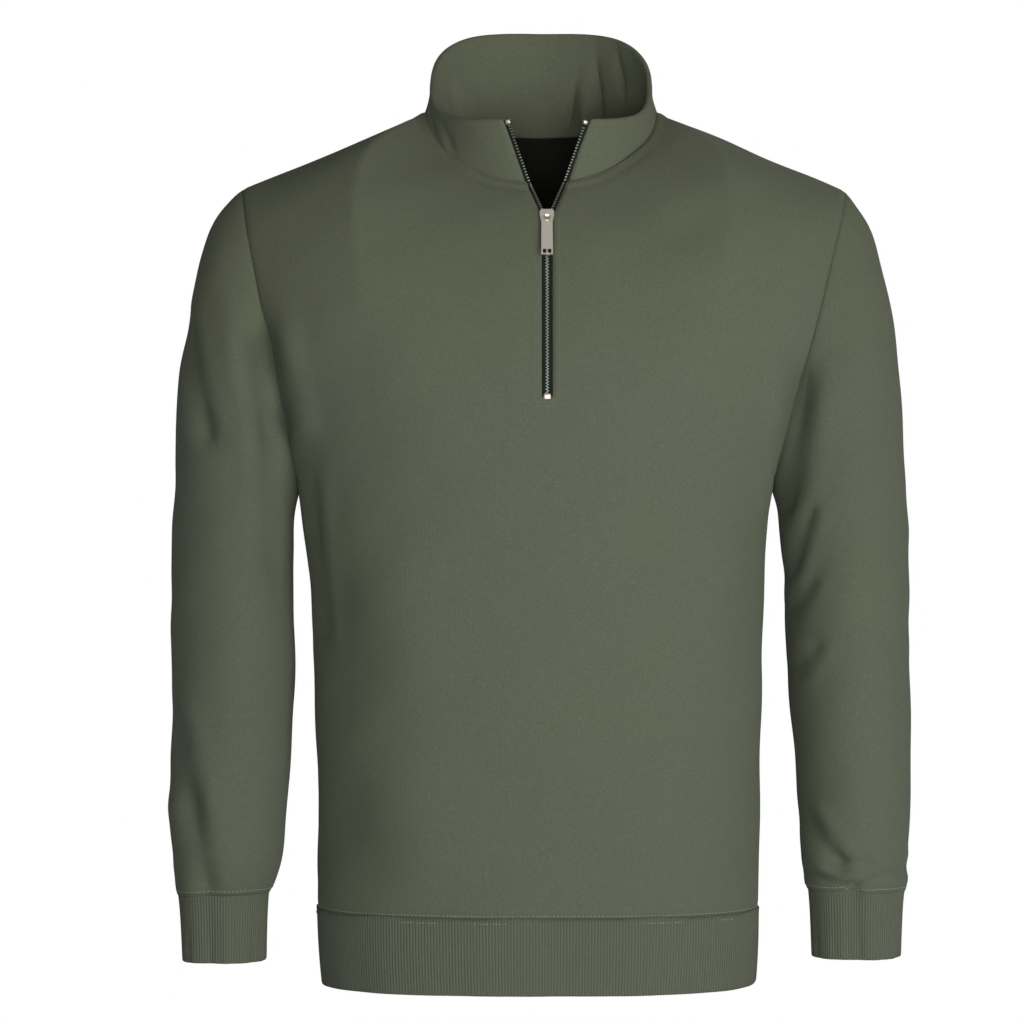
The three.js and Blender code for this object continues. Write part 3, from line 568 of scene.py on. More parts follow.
def yarn_group():
    """Melange yarn: a colour that wanders from green to brown, with fine pale and dark fibres."""
    group = bpy.data.node_groups.new("melange_yarn", "ShaderNodeTree")
    face = group.interface
    colours = (("Green", (0.1, 0.1, 0.1, 1)), ("Brown", (0.1, 0.1, 0.1, 1)), ("Fleck", (0.2, 0.2, 0.2, 1)))
    for label, value in colours:
        socket = face.new_socket(label, in_out="INPUT", socket_type="NodeSocketColor")
        socket.default_value = value
    amount = face.new_socket("Fleck Amount", in_out="INPUT", socket_type="NodeSocketFloat")
    amount.default_value = 0.3
    face.new_socket("Colour", in_out="OUTPUT", socket_type="NodeSocketColor")
    face.new_socket("Fibre", in_out="OUTPUT", socket_type="NodeSocketFloat")
    inputs = group.nodes.new("NodeGroupInput")
    outputs = group.nodes.new("NodeGroupOutput")
    place = add_node(group, "TexCoord")
    broad = add_node(group, "TexNoise", Scale=9, Detail=5)
    fine = add_node(group, "TexNoise", Scale=850, Detail=3)
    fibres = add_node(group, "TexNoise", Scale=1300, Detail=2)
    for texture in (broad, fine, fibres):
        link(group, place, "Object", texture, "Vector")
    wander = add_node(group, "MapRange", From_Min=0.15, From_Max=0.85)
    link(group, broad, "Fac", wander, "Value")
    # The cloth is browner towards the top, over the shoulders.
    height = add_node(group, "SeparateXYZ")
    link(group, place, "Object", height, "Vector")
    towards_top = add_node(group, "MapRange", From_Min=-0.24, From_Max=-0.08, To_Max=0.9)
    link(group, height, "Z", towards_top, "Value")
    browner = add_node(group, "Math")
    browner.use_clamp = True
    link(group, wander, "Result", browner, 0)
    link(group, towards_top, "Result", browner, 1)
    tint = add_node(group, "Mix")
    tint.data_type = "RGBA"
    link(group, browner, "Value", tint, "Factor")
    link(group, inputs, "Green", tint, "A")
    link(group, inputs, "Brown", tint, "B")
    speck = add_node(group, "MapRange", From_Min=0.50, From_Max=0.74)
    link(group, fine, "Fac", speck, "Value")
    share = add_node(group, "Math")
    share.operation = "MULTIPLY"
    link(group, speck, "Result", share, 0)
    link(group, inputs, "Fleck Amount", share, 1)
    mixed = add_node(group, "Mix")
    mixed.data_type = "RGBA"
    link(group, share, "Value", mixed, "Factor")
    link(group, tint, "Result", mixed, "A")
    link(group, inputs, "Fleck", mixed, "B")
    link(group, mixed, "Result", outputs, "Colour")
    link(group, fibres, "Fac", outputs, "Fibre")
    return group


yarn = yarn_group()
wave_per_metre = 2 * math.pi / 20      # a wave texture turns 20 radians for each unit of its scale


def yarn_colour(tree, green, brown, depth=1.0):
    """The melange yarn, darkened by the depth factor; below 1 the darkening is painted shade."""
    colour = tree.nodes.new("ShaderNodeGroup")
    colour.node_tree = yarn
    for label, shade in (("Green", green), ("Brown", brown), ("Fleck", jersey_fleck)):
        colour.inputs[label].default_value = (*(depth * value for value in shade), 1)
    colour.inputs["Fleck Amount"].default_value = fleck_amount
    return colour


def jersey_material(name, wale, wale_depth, nap, depth=1.0):
    """Brushed jersey: melange colour, fine wales along the cloth's own length, and a soft nap. A depth
    below 1 darkens the colour as painted shade.
    """
    material, tree, shader = new_material(name)
    colour = yarn_colour(tree, jersey_green, jersey_brown, depth)
    link(tree, colour, "Colour", shader, "Base Color")
    waves = add_node(tree, "TexWave", Scale=wave_per_metre / wale, Distortion=1.2, Detail=2, Detail_Scale=3)
    waves.wave_type = "BANDS"
    waves.bands_direction = "X"
    link(tree, cloth_map(tree), "UV", waves, "Vector")
    ribbed = add_bump(tree, waves, "Fac", 0.6, wale_depth)
    fuzz = add_bump(tree, colour, "Fibre", nap, 0.0006, ribbed)
    link(tree, fuzz, "Normal", shader, "Normal")
    set_sockets(shader, Roughness=0.95, Specular_IOR_Level=0.15, Sheen_Weight=0.12)
    set_sockets(shader, Sheen_Roughness=0.5, Sheen_Tint=(0.75, 0.82, 0.65, 1))
    return material


jersey_green, jersey_brown = (0.094, 0.112, 0.080), (0.099, 0.109, 0.070)
rib_green, rib_brown = (0.107, 0.124, 0.090), (0.111, 0.120, 0.083)
jersey_fleck = (0.168, 0.175, 0.128)
fleck_amount = 0.48
jersey_look = jersey_material("brushed_jersey", 0.0011, 0.0002, 0.5)
# The inside is brushed up to a deeper fleece, and its colour is darkened to a tenth as painted shade for
# the hollow inside.
fleece_and_shade_look = jersey_material("brushed_inside_painted_shade", 0.0011, 0.0003, 1.0, 0.10)
body_sheets = (
    # piece, node, cut width, cut length, cut area
    (front, "front_panel", 0.56, 0.73, 0.345),
    (back, "back_panel", 0.56, 0.73, 0.350),
    (left_sleeve, "sleeve_left", 0.46, 0.60, 0.175),
    (right_sleeve, "sleeve_right", 0.46, 0.60, 0.175),
)
for piece, node, width, length, area in body_sheets:
    piece.data.materials.append(jersey_look)
    piece.data.materials.append(fleece_and_shade_look)
    # The inner faces take the fleece with its painted shade.
    total = len(piece.data.vertices) // 2
    for face in piece.data.polygons:
        face.material_index = 1 if min(face.vertices) >= total else 0
    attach(piece, "garment")
    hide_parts(node)

# ---------------------------------------------------------------- collar
# A stand collar cut double from the same jersey and turned along its rim. It runs from one zip
# tape round the back of the neck to the other, and leans back with its front edge low.
collar_cloth = 0.0042
rim_half, rim_front, rim_back, rim_side_z = 0.087, 0.082, 0.079, 0.022
rim_climb, rim_climb_power = 0.050, 1.6
rim_fall, rim_fall_power = 0.0345, 2.4
collar_waist = 0.0015
collar_rows, collar_columns = 36, 260
seam_lap = 0.0012


def rim_height(y):
    falling = rim_side_z - rim_fall * (1 - np.clip(1 + y / rim_front, 0, 1) ** rim_fall_power)
    climbing = rim_side_z + rim_climb * (1 - np.clip(1 - y / rim_back, 0, 1) ** rim_climb_power)
    return np.where(y < 0, falling, climbing)


def collar_point(angle, rise):
    """A place on the collar's middle surface; angle 0 is the centre front."""
    ahead = np.cos(angle) > 0
    base_y = -np.cos(angle) * np.where(ahead, neck_front, neck_back)
    rim_y = -np.cos(angle) * np.where(ahead, rim_front, rim_back)
    waist = collar_waist * np.sin(math.pi * np.clip(rise, 0, 1))
    x = np.sin(angle) * (neck_half + (rim_half - neck_half) * rise - waist)
    y = base_y + (rim_y - base_y) * rise + waist * np.cos(angle)
    z = neck_height(base_y) + (rim_height(rim_y) - neck_height(base_y)) * rise
    return np.stack([x, y, z], axis=-1)


def collar_grid():
    """Each row starts and ends on the edge of the zip's opening."""
    rise = np.linspace(-0.03, 0.965, collar_rows + 1)
    first = np.full(rise.shape, 0.3)
    last = np.full(rise.shape, 0.3)
    for _ in range(30):
        z = collar_point(first, rise)[:, 2]
        want = zip_x + zip_half(z) + cloth_edge
        first = np.arcsin(want / (neck_half + (rim_half - neck_half) * rise))
        z = collar_point(last, rise)[:, 2]
        want = -zip_x + zip_half(z) + cloth_edge
        last = np.arcsin(want / (neck_half + (rim_half - neck_half) * rise))
    share = np.linspace(0, 1, collar_columns + 1)
    angle = first[:, None] + (2 * math.pi - last - first)[:, None] * share
    return collar_point(angle, np.broadcast_to(rise[:, None], angle.shape))


collar_folds = [
    # angle in degrees from the front, rise, lean, half width, how far out, half length
    (143, 0.38, 0.15, 0.0045, 0.0075, 0.017),
    (161, 0.26, -0.35, 0.0045, 0.0058, 0.012),
    (127, 0.58, 0.25, 0.0045, 0.0058, 0.013),
    (152, 0.22, 0.1, 0.0050, -0.0042, 0.012),
    (210, 0.20, 0.9, 0.0070, 0.0025, 0.018),
    (238, 0.35, 0.5, 0.0060, 0.0030, 0.014),
    (62, 0.45, 0.3, 0.0060, -0.0012, 0.014),
    (300, 0.40, -0.3, 0.0060, -0.0022, 0.015),
    (286, 0.30, -0.7, 0.0050, -0.0018, 0.016),
    (105, 0.30, 0.6, 0.0070, 0.0015, 0.016),
]


def fold_lift(grid):
    """Short soft folds where the collar bends round the neck."""
    angle = np.degrees(np.arctan2(grid[..., 0], -grid[..., 1])) % 360
    rise = np.linspace(0, 1, grid.shape[0])[:, None]
    lift = 0.0005 * np.sin(np.radians(angle) * 7 + 3 * rise) * np.sin(np.radians(angle) * 3 + 1)
    for centre, level, lean, half, depth, reach in collar_folds:
        around = np.radians(angle - centre) * 0.085
        upward = (rise - level) * 0.055
        across = around * math.cos(lean) - upward * math.sin(lean)
        along = around * math.sin(lean) + upward * math.cos(lean)
        lift = lift + depth * np.exp(-(across / half) ** 2 - (along / reach) ** 2)
    return lift


edge_round, edge_thin = 0.0022, 0.9


def band_object(name, grid, normals, thickness, closed, outward, pitch=0.0):
    """A doubled band of cloth: a closed section round a middle surface, with a rounded free edge
    at the last row. The UV map counts metres round the section and along the band."""
    half = thickness / 2
    if not closed:
        over = run_along(grid, 1)
        near = np.minimum(over, over[:, -1:] - over)
        half = half * np.sqrt(1 - (1 - np.clip(near / edge_round, 0, 1)) ** 2 * edge_thin)
    half = np.broadcast_to(half, grid.shape[:2])[..., None]
    tip = grid[-1] - grid[-2]
    tip = tip / np.linalg.norm(tip, axis=-1, keepdims=True)
    outer = grid + normals * half
    inner = (grid - normals * half)[::-1]
    turned = []
    for degrees in (30, 60, 90, 120, 150):
        turn = math.radians(degrees)
        turned.append(grid[-1] + (normals[-1] * math.cos(turn) + tip * math.sin(turn)) * half[-1])
    section = np.concatenate([outer, np.array(turned), inner])
    rows, columns = section.shape[:2]
    number = np.arange(rows * columns).reshape(rows, columns)
    around = np.roll(number, -1, axis=0)
    beside = np.roll(number, -1, axis=1)
    corner = np.roll(around, -1, axis=1)
    wide = columns if closed else columns - 1
    faces = np.stack([number, beside, corner, around], axis=-1)[:, :wide].reshape(-1, 4).tolist()
    if not closed:
        faces.append(number[:, 0].tolist())
        faces.append(number[::-1, -1].tolist())
    if outward < 0:
        faces = [face[::-1] for face in faces]
    piece = new_piece(name, section.reshape(-1, 3), faces)
    v = run_along(section, 0)
    u = np.broadcast_to(np.arange(columns) * pitch, (rows, columns)) if pitch else run_along(section, 1)
    map_cloth(piece.data, u.ravel(), v.ravel())
    return piece


collar_plain = collar_grid()
collar_normals = shared_normals([(collar_plain, False, 1)])[0]
collar_folded = collar_plain + collar_normals * fold_lift(collar_plain)[..., None]
collar_normals = shared_normals([(collar_folded, False, 1)])[0]
collar = band_object("collar_cloth", collar_folded, collar_normals, collar_cloth, False, 1)
collar.data.materials.append(jersey_look)
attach(collar, "garment")
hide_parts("collar")

# ---------------------------------------------------------------- hem and cuffs
# Tubes of two by two rib, folded double and sewn on stretched, so they draw the cloth in. Their
# ribs run up and down, and the fold at the free edge tucks under.
rib_cloth = 0.0036
rib_pitch = 0.0024
rib_columns = 5
rib_height = 0.00028
rib_course = 0.0011
hem_bottom_z = -0.695
hem_tuck = 0.003 / 0.173
cuff_height, cuff_taper, cuff_step = 0.053, 0.90, 0.45


def even_ring(ring, count):
    """A ring's points again, evenly spaced round it and eased."""
    loop = np.concatenate([ring, ring[:1]])
    steps = np.linalg.norm(np.diff(loop, axis=0), axis=-1)
    keep = np.concatenate([[True], steps > 1e-6])
    run = run_along(loop, 0)[keep]
    at = np.linspace(0, run[-1], count + 1)[:-1]
    even = np.stack([np.interp(at, run, loop[keep][:, k]) for k in range(3)], axis=-1)
    reach = max(2, int(0.006 * count / run[-1]))
    offsets = range(-reach, reach + 1)
    return sum(np.roll(even, k, axis=0) for k in offsets) / len(offsets)


def rib_band(name, ring, bottom_z, narrowing, power, rows, outward, seed):
    """A rib tube below a ring of the cloth above, and its bare middle surface."""
    length = run_along(np.concatenate([ring, ring[:1]]), 0)[-1]
    ribs = int(round(length / rib_pitch))
    count = ribs * rib_columns
    top = even_ring(ring, count)
    centre = top.mean(axis=0)
    height = top[:, 2].mean() - bottom_z
    share = np.linspace(-seam_lap / height, 1 - rib_cloth / 2 / height, rows + 1)[:, None]
    scale = 1 + (narrowing - 1) * np.clip(share, 0, 1) ** power
    x = centre[0] + (top[:, 0] - centre[0]) * scale
    y = centre[1] + (top[:, 1] - centre[1]) * scale
    z = top[:, 2] + (bottom_z - top[:, 2]) * share
    easing = np.linspace(0, 2 * math.pi, count, endpoint=False)
    wander = 0.0007 * (np.sin(9 * easing + seed) + 0.6 * np.sin(17 * easing + 3 * seed))
    z = z + wander * np.clip(1 - 3 * share, 0, 1)
    plain_band = np.stack([x, y, z], axis=-1)
    normals = shared_normals([(plain_band, True, outward)])[0]
    turn = np.linspace(0, 2 * math.pi, count, endpoint=False)
    waves = np.sin(5 * turn + seed) + 0.7 * np.sin(11 * turn + 2 * seed) + 0.4 * np.sin(23 * turn)
    ripple = 0.0006 * waves * np.clip(share, 0, 1)
    # The band's face lies level with the jersey's, though it is thicker.
    pinch = (jersey - rib_cloth) / 2 - 0.0005 * np.exp(-(share * height / 0.0025) ** 2)
    ribbing = rib_height * -np.cos(2 * math.pi * np.arange(count) / rib_columns)
    # The fold at the free edge presses the ribs flat.
    pressed = 1 - 0.6 * np.clip((share - 0.93) / 0.07, 0, 1)
    out = ripple + pinch
    shaped = plain_band + normals * out[..., None]
    thickness = rib_cloth + 2 * ribbing * pressed
    pitch = rib_pitch / rib_columns
    return band_object(name, shaped, normals, thickness, True, outward, pitch)


hem_ring = np.concatenate([creased[0][0], creased[1][0, 1:-1][::-1]])
hem = rib_band("hem_rib", hem_ring, hem_bottom_z, 1 - hem_tuck, 2, 14, 1, 0.6)
cuff_left = rib_band(
    "cuff_left_rib", creased[2][-1], -0.624 - cuff_height, cuff_taper, cuff_step, 13, 1, 1.7,
)
cuff_right = rib_band(
    "cuff_right_rib", creased[3][-1], -0.621 - cuff_height, cuff_taper, cuff_step, 13, -1, 2.9,
)


def rib_material():
    """Rib knit: the jersey's yarn, with painted shade down in the grooves."""
    material, tree, shader = new_material("rib_knit")
    colour = yarn_colour(tree, rib_green, rib_brown)
    cloth = cloth_map(tree)
    ribs = add_node(tree, "TexWave", Scale=wave_per_metre / rib_pitch, Distortion=0)
    ribs.bands_direction = "X"
    link(tree, cloth, "UV", ribs, "Vector")
    # Painted shade: the colour darkens to 0.72 down in each groove.
    groove_shade = add_node(tree, "MapRange", From_Min=0.0, From_Max=0.55, To_Min=0.72, To_Max=1.0)
    link(tree, ribs, "Fac", groove_shade, "Value")
    shade = add_node(tree, "VectorMath")
    shade.operation = "SCALE"
    link(tree, colour, "Colour", shade, 0)
    link(tree, groove_shade, "Result", shade, "Scale")
    link(tree, shade, "Vector", shader, "Base Color")
    courses = add_node(tree, "TexWave", Scale=wave_per_metre / rib_course, Distortion=1.5)
    courses.bands_direction = "Y"
    link(tree, cloth, "UV", courses, "Vector")
    loops = add_bump(tree, courses, "Fac", 0.5, 0.0002)
    fuzz = add_bump(tree, colour, "Fibre", 0.5, 0.0005, loops)
    link(tree, fuzz, "Normal", shader, "Normal")
    set_sockets(shader, Roughness=0.95, Specular_IOR_Level=0.15)
    return material


rib_look = rib_material()
rib_sheets = (
    # piece, node, cut width, cut length
    (hem, "hem_band", 1.00, 0.061),
    (cuff_left, "cuff_left", 0.215, 0.055),
    (cuff_right, "cuff_right", 0.215, 0.055),
)
for piece, node, width, length in rib_sheets:
    piece.data.materials.append(rib_look)
    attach(piece, "garment")
    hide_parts(node)

# ---------------------------------------------------------------- zip
# A metal zip: two woven tapes let into the slit, a row of small moulded teeth along each, stops at
# the ends and a slider. The teeth mesh below the slider and part above it.
tooth_pitch = 0.0024
tape_thick, tape_weave = 0.0008, 0.0008
stop_z = -0.231
zip_top_z = -0.013


def surface_lookup(pieces):
    """Finds the nearest place on some pieces."""
    points, faces = [], []
    for piece in pieces:
        start = len(points)
        points.extend(vert.co.copy() for vert in piece.data.vertices)
        faces.extend([start + v for v in face.vertices] for face in piece.data.polygons)
    return BVHTree.FromPolygons(points, faces)


front_whole = panel_grid(True)
collar_angles = np.linspace(-1.2, 1.2, 121)
collar_rises = np.linspace(0, 1, 41)
collar_whole = collar_point(*np.meshgrid(collar_angles, collar_rises))


def bare_lookup(grids):
    points, faces = [], []
    for grid in grids:
        rows, columns = grid.shape[:2]
        start = len(points)
        points.extend(Vector(p) for p in grid.reshape(-1, 3))
        number = start + np.arange(rows * columns).reshape(rows, columns)
        quads = np.stack([number[:-1, :-1], number[:-1, 1:], number[1:, 1:], number[1:, :-1]], axis=-1)
        faces.extend(quads.reshape(-1, 4).tolist())
    return BVHTree.FromPolygons(points, faces)


middle_front = bare_lookup([front_whole, collar_whole])


def on_front(x, z):
    """The middle surface of the front, and which way it faces, seen from the front at a place."""
    hit, normal, _, _ = middle_front.ray_cast(Vector((x, -1.0, z)), Vector((0, 1, 0)))
    if normal.y > 0:
        normal = -normal
    return hit, normal


# Across a tape: distance from the edge of the opening, and how far behind the cloth's middle
tape_profile = (
    (0.0003, 0.0003), (0.0020, 0.0003), (0.0038, 0.0004),
    (0.0050, 0.0015), (0.0090, 0.0016), (0.0130, 0.0016),
)


def tape_strip(name, side):
    heights = np.concatenate([
        np.linspace(slit_bottom_z + 0.001, slider_z, 60),
        np.linspace(slider_z, zip_top_z - 0.001, 40)[1:],
    ])
    rows = []
    for z in heights:
        half = float(zip_half(z))
        row = []
        for away, behind in tape_profile:
            spot, normal = on_front(zip_x + side * (half + away), float(z))
            row.append(tuple(spot - normal * behind))
        rows.append(row)
    grid = np.array(rows)
    normals = shared_normals([(grid, False, side)])[0]
    return cloth_object(name, grid, normals, tape_thick, False, side)


def tape_material():
    """Dark green polyester tape in a fine herringbone weave."""
    material, tree, shader = new_material("woven_tape")
    weave = add_node(tree, "TexWave", Scale=wave_per_metre / tape_weave, Distortion=0.5)
    weave.bands_direction = "DIAGONAL"
    link(tree, cloth_map(tree), "UV", weave, "Vector")
    two_shades(tree, weave, (0.007, 0.011, 0.008), (0.016, 0.023, 0.017), shader)
    bump = add_bump(tree, weave, "Fac", 0.5, 0.0002)
    link(tree, bump, "Normal", shader, "Normal")
    set_sockets(shader, Roughness=0.9, Specular_IOR_Level=0.1)
    return material


tape_look = tape_material()
for side, word in ((-1, "left"), (1, "right")):
    tape = tape_strip(f"tape_{word}", side)
    tape.data.materials.append(tape_look)
    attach(tape, "garment")
    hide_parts(f"zip_tape_{word}")


def small_part(name, size, bevel, segments):
    """A little rounded block at the origin, for copies: its points and faces."""
    bpy.ops.object.select_all(action="DESELECT")
    bpy.ops.mesh.primitive_cube_add(size=1, location=(0, 0, 0))
    block = bpy.context.object
    block.name = name
    bpy.ops.object.mode_set(mode="EDIT")
    bpy.ops.mesh.select_all(action="SELECT")
    bpy.ops.transform.resize(value=size)
    bpy.ops.mesh.bevel(offset=bevel, segments=segments, affect="EDGES")
    bpy.ops.object.mode_set(mode="OBJECT")
    points = np.array([vert.co for vert in block.data.vertices])
    faces = [list(face.vertices) for face in block.data.polygons]
    bpy.data.objects.remove(block)
    return points, faces


def copies(name, part, places, smooth):
    """One mesh of many copies of a small part. A place is its middle and its three directions."""
    points, faces = part
    all_points, all_faces = [], []
    for middle, along, over, up in places:
        start = len(all_points) * len(points)
        basis = np.array([along, over, up])
        all_points.append(points @ basis + np.array(middle))
        all_faces.extend([[start + v for v in face] for face in faces])
    return new_piece(name, np.concatenate(all_points), all_faces, smooth)


def axes_at(normal, up):
    """Directions across, out of and along a strip with this normal and rough upward line."""
    out = np.array(normal) / np.linalg.norm(normal)
    along = np.array(up) - out * np.dot(up, out)
    along /= np.linalg.norm(along)
    return np.cross(-out, along), out, along


row_out = 0.0010
top_stop_drop = 0.0021


def row_place(side, z):
    """Where a part of an open row stands. Its line follows the edge of the opening."""
    spot, normal = on_front(zip_x + side * (float(zip_half(z)) + row_out), z)
    above, _ = on_front(zip_x + side * (float(zip_half(z + 0.001)) + row_out), z + 0.001)
    return (spot, *axes_at(normal, np.array(above - spot)))


tooth = small_part("tooth", (0.0017, 0.0016, 0.0010), 0.00030, 2)
closed_places = []
count = int((slider_z - 0.004 - stop_z - 0.0026) / tooth_pitch)
for k in range(2 * count):
    z = stop_z + 0.0032 + k * tooth_pitch / 2
    side = 1 if k % 2 else -1
    spot, normal = on_front(zip_x + side * 0.0005, z)
    closed_places.append((spot, *axes_at(normal, (0, 0, 1))))
closed_teeth = copies("teeth_closed", tooth, closed_places, False)
open_teeth = {}
for side, word in ((-1, "left"), (1, "right")):
    places = []
    z = slider_z + 0.0035
    while z < zip_top_z - 0.0048:
        place = row_place(side, z)
        places.append(place)
        z += tooth_pitch * place[3][2]
    open_teeth[word] = copies(f"teeth_{word}", tooth, places, False)

stop_part = small_part("stop", (0.0036, 0.0032, 0.0032), 0.0006, 2)
stops = {}
for side, word in ((-1, "left"), (1, "right")):
    stops[word] = copies(f"stop_top_{word}", stop_part, [row_place(side, zip_top_z - top_stop_drop)], True)
spot, normal = on_front(zip_x, stop_z)
foot_part = small_part("foot", (0.0058, 0.0032, 0.0050), 0.0012, 3)
foot_stop = copies("stop_bottom", foot_part, [(spot, *axes_at(normal, (0, 0, 1)))], True)


def object_noise(tree, **values):
    """Noise that stays with the object."""
    noise = add_node(tree, "TexNoise", **values)
    link(tree, add_node(tree, "TexCoord"), "Object", noise, "Vector")
    return noise


def nickel_material(name, colour, rough, grain):
    """Satin nickel plate, a little uneven from wear."""
    material, tree, shader = new_material(name)
    patches = object_noise(tree, Scale=grain, Detail=4)
    wear = add_node(tree, "MapRange", To_Min=rough - 0.06, To_Max=rough + 0.10)
    link(tree, patches, "Fac", wear, "Value")
    link(tree, wear, "Result", shader, "Roughness")
    two_shades(tree, patches, colour, tuple(0.82 * value for value in colour), shader)
    set_sockets(shader, Metallic=1)
    return material


nickel_look = nickel_material("satin_nickel", (0.66, 0.60, 0.53), 0.34, 500)
tooth_look = nickel_material("tooth_metal", (0.27, 0.27, 0.25), 0.36, 900)
zip_metal = (
    (closed_teeth, "zip_chain_closed", tooth_look),
    (open_teeth["left"], "zip_chain_left", tooth_look),
    (open_teeth["right"], "zip_chain_right", tooth_look),
    (stops["left"], "top_stop_left", nickel_look),
    (stops["right"], "top_stop_right", nickel_look),
    (foot_stop, "bottom_stop", nickel_look),
)
for piece, node, look in zip_metal:
    piece.data.materials.append(look)
    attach(piece, "garment")
    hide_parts(node)

# ---------------------------------------------------------------- slider and pull
# Die-cast and plated: the slider's two plates run over the teeth, and the flat pull with its two
# small windows hangs from a bar through the crown.
for node in ("slider", "pull_tab"):
    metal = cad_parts[node]
    metal.data.materials.clear()
    metal.data.materials.append(nickel_look)

# ---------------------------------------------------------------- stitching
# Topstitching in green thread: beside the zip and across its foot, round the neck, and above
# the hem and cuffs. One stitch is modelled and repeated along each line.
bpy.ops.object.select_all(action="DESELECT")
bpy.ops.mesh.primitive_uv_sphere_add(segments=6, ring_count=5, radius=0.5, location=(0, 0, 0))
thread = bpy.context.object
bpy.ops.object.mode_set(mode="EDIT")
bpy.ops.mesh.select_all(action="SELECT")
bpy.ops.transform.resize(value=(0.00062, 0.00055, 0.0024))
bpy.ops.object.mode_set(mode="OBJECT")
stitch = (
    np.array([vert.co for vert in thread.data.vertices]),
    [list(face.vertices) for face in thread.data.polygons],
)
bpy.data.objects.remove(thread)
stitch_pitch, stitch_lift, stitch_aim = 0.0031, 0.00012, 0.004
body_surface = surface_lookup([front, back, left_sleeve, right_sleeve])
outer_surface = surface_lookup([front, collar])


def stitch_line(path, surface, outside):
    """Stitches at even steps along a path of points, laid on the nearest cloth, outer side."""
    path = np.array(path)
    run = run_along(path, 0)
    at = np.arange(stitch_pitch / 2, run[-1], stitch_pitch)
    spots = np.stack([np.interp(at, run, path[:, k]) for k in range(3)], axis=-1)
    ahead = np.stack([np.interp(at + 0.0005, run, path[:, k]) for k in range(3)], axis=-1)
    places = []
    for spot, onward in zip(spots, ahead):
        hit, normal, _, _ = surface.find_nearest(Vector(spot + outside(spot) * stitch_aim))
        line = onward - spot
        if np.linalg.norm(line) < 1e-7:
            continue
        across, out, along = axes_at(normal, line)
        places.append((np.array(hit) + out * stitch_lift, across, out, along))
    return places


def forward(spot):
    return np.array([0.0, -1.0, 0.0])


def upward(spot):
    return np.array([0.0, 0.0, 1.0])


zip_lines = []
beside = cloth_edge + 0.0053
for side in (-1, 1):
    path = []
    for z in np.linspace(-0.235, zip_top_z - 0.006, 110):
        hit, _ = on_front(zip_x + side * (float(zip_half(z)) + beside), float(z))
        path.append(tuple(hit))
    zip_lines.extend(stitch_line(path, outer_surface, forward))
for z in (-0.2352, -0.2384):
    path = [tuple(on_front(x, z)[0]) for x in np.linspace(zip_x - beside, zip_x + beside, 12)]
    zip_lines.extend(stitch_line(path, outer_surface, forward))

neck_lines = []
neck_out = 0.007
radial = np.stack([np.sin(neck_turn), -np.cos(neck_turn), 0 * neck_turn], axis=-1)
moved = neck_path + radial * neck_out
open_part = [k for k in range(361) if abs(moved[k, 0] - zip_x) > 0.024 or moved[k, 1] > 0]
laid = []
for k in open_part:
    hit, _, _, _ = body_surface.find_nearest(Vector(moved[k] + np.array([0, 0, 0.002])))
    laid.append(tuple(hit))
neck_lines.extend(stitch_line(laid, body_surface, upward))



def away_from_neck(spot):
    return np.array([spot[0], spot[1], 0]) / 0.08


# On the collar, a line goes round just below the rim.
collar_lines = []
for turn_from, turn_to, level in ((0.36, 1.9, 0.86), (-1.9, -0.42, 0.86)):
    angles = np.linspace(turn_from, turn_to, 60)
    rim_path = collar_point(angles, np.full(angles.shape, level))
    laid = []
    for spot in rim_path:
        out = Vector((spot[0], spot[1], 0)).normalized() * 0.004
        laid.append(tuple(outer_surface.find_nearest(Vector(spot) + out)[0]))
    collar_lines.extend(stitch_line(laid, outer_surface, away_from_neck))


def ring_line(ring, surface):
    """Stitches round a ring of the cloth, on its outer side."""
    centre = ring.mean(axis=0)

    def outside(spot):
        away = spot - centre
        away[2] = 0
        return away / np.linalg.norm(away)

    return stitch_line(np.concatenate([ring, ring[:1]]), surface, outside)


stitch_rise = np.array([0, 0, 0.0026])
hem_lines = ring_line(hem_ring + stitch_rise, body_surface)
worn_row = ring_line(hem_ring - stitch_rise, surface_lookup([hem]))
# Parts of the lower row have sunk between the ribs.
for k, place in enumerate(worn_row):
    if math.sin(0.11 * k + 2) + math.sin(0.31 * k) > 0.7:
        hem_lines.append(place)
sleeve_surface = surface_lookup([left_sleeve, right_sleeve])
cuff_lines = []
for wrist in (creased[2][-1], creased[3][-1]):
    cuff_lines.extend(ring_line(wrist + stitch_rise, sleeve_surface))


def thread_material(name, colour):
    material, tree, shader = new_material(name)
    twist = object_noise(tree, Scale=1500)
    two_shades(tree, twist, tuple(0.75 * value for value in colour), colour, shader)
    set_sockets(shader, Roughness=0.7)
    return material


thread_look = thread_material("green_thread", (0.135, 0.150, 0.105))
pale_look = thread_material("pale_thread", (0.30, 0.32, 0.24))
stitched = (
    ("stitches_zip", zip_lines, thread_look),
    ("stitches_neck", neck_lines, thread_look),
    ("stitches_collar", collar_lines, thread_look),
    ("stitches_hem", hem_lines, pale_look),
    ("stitches_cuffs", cuff_lines, pale_look),
)
for name, places, look in stitched:
    row = copies(name, stitch, places, True)
    row.data.materials.append(look)
    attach(row, "garment")

# ---------------------------------------------------------------- studio
# A pale floor and backdrop, a large soft light from the front right, one from the front and a
# weak fill.
floor_z = -0.90
bpy.ops.object.select_all(action="DESELECT")
bpy.ops.mesh.primitive_plane_add(size=1, location=(0, 0, floor_z))
floor = bpy.context.object
floor.name = "studio_floor"
bpy.ops.object.mode_set(mode="EDIT")
bpy.ops.mesh.select_all(action="SELECT")
bpy.ops.transform.resize(value=(12, 9, 1))
bpy.ops.object.mode_set(mode="OBJECT")
floor_look, floor_tree, floor_shader = new_material("pale_floor")
set_sockets(floor_shader, Base_Color=(0.9, 0.9, 0.9, 1), Roughness=0.9)
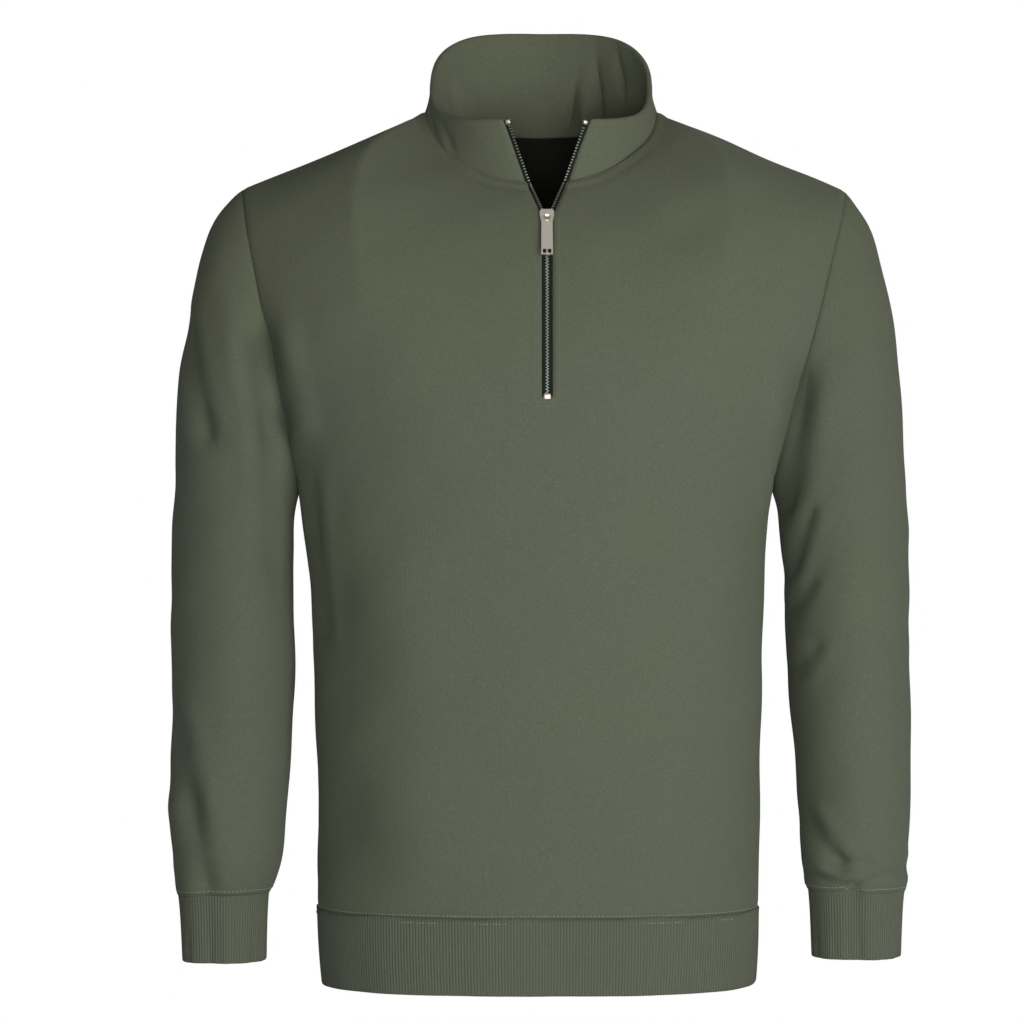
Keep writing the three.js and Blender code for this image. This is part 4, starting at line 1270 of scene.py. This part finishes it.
# Seen straight on it is as bright as the backdrop, so that the two run together.
floor_glow = add_node(floor_tree, "Emission", Color=(1, 1, 1, 1), Strength=1.0)
floor_ray = add_node(floor_tree, "LightPath")
floor_mix = add_node(floor_tree, "MixShader")
link(floor_tree, floor_ray, "Is Camera Ray", floor_mix, 0)
link(floor_tree, floor_shader, "BSDF", floor_mix, 1)
link(floor_tree, floor_glow, "Emission", floor_mix, 2)
link(floor_tree, floor_mix, "Shader", floor_tree.nodes["Material Output"], "Surface")
floor.data.materials.append(floor_look)

world = bpy.data.worlds.new("studio")
bpy.context.scene.world = world
world.use_nodes = True
air = world.node_tree
soft_light = air.nodes["Background"]
set_sockets(soft_light, Color=(0.95, 0.98, 1, 1), Strength=0.08)
backdrop = add_node(air, "Background", Color=(1, 1, 1, 1), Strength=1.0)
air_ray = add_node(air, "LightPath")
# Polished metal mirrors the bright backdrop too.
mirrored = add_node(air, "Math")
mirrored.operation = "MULTIPLY"
mirrored.inputs[1].default_value = 0.55
link(air, air_ray, "Is Glossy Ray", mirrored, 0)
seen = add_node(air, "Math")
seen.operation = "MAXIMUM"
link(air, air_ray, "Is Camera Ray", seen, 0)
link(air, mirrored, "Value", seen, 1)
air_mix = add_node(air, "MixShader")
link(air, seen, "Value", air_mix, 0)
link(air, soft_light, "Background", air_mix, 1)
link(air, backdrop, "Background", air_mix, 2)
link(air, air_mix, "Shader", air.nodes["World Output"], "Surface")

lights = (
    # name, place, aim, size, power
    ("key", (1.7, -2.7, -0.35), (0, 0, -0.35), 1.3, 55),
    ("fill", (-2.2, -2.6, -0.2), (0, 0, -0.35), 1.6, 1),
    ("front", (0.1, -3.7, -0.5), (0, 0, -0.35), 1.2, 68),
)
for name, place, aim, size, power in lights:
    lamp = bpy.data.lights.new(name, "AREA")
    lamp.size = size
    lamp.energy = power
    holder = bpy.data.objects.new(name, lamp)
    holder.location = place
    holder.rotation_euler = (Vector(aim) - Vector(place)).to_track_quat("-Z", "Y").to_euler()
    bpy.context.collection.objects.link(holder)
bpy.context.scene.view_settings.view_transform = "Standard"
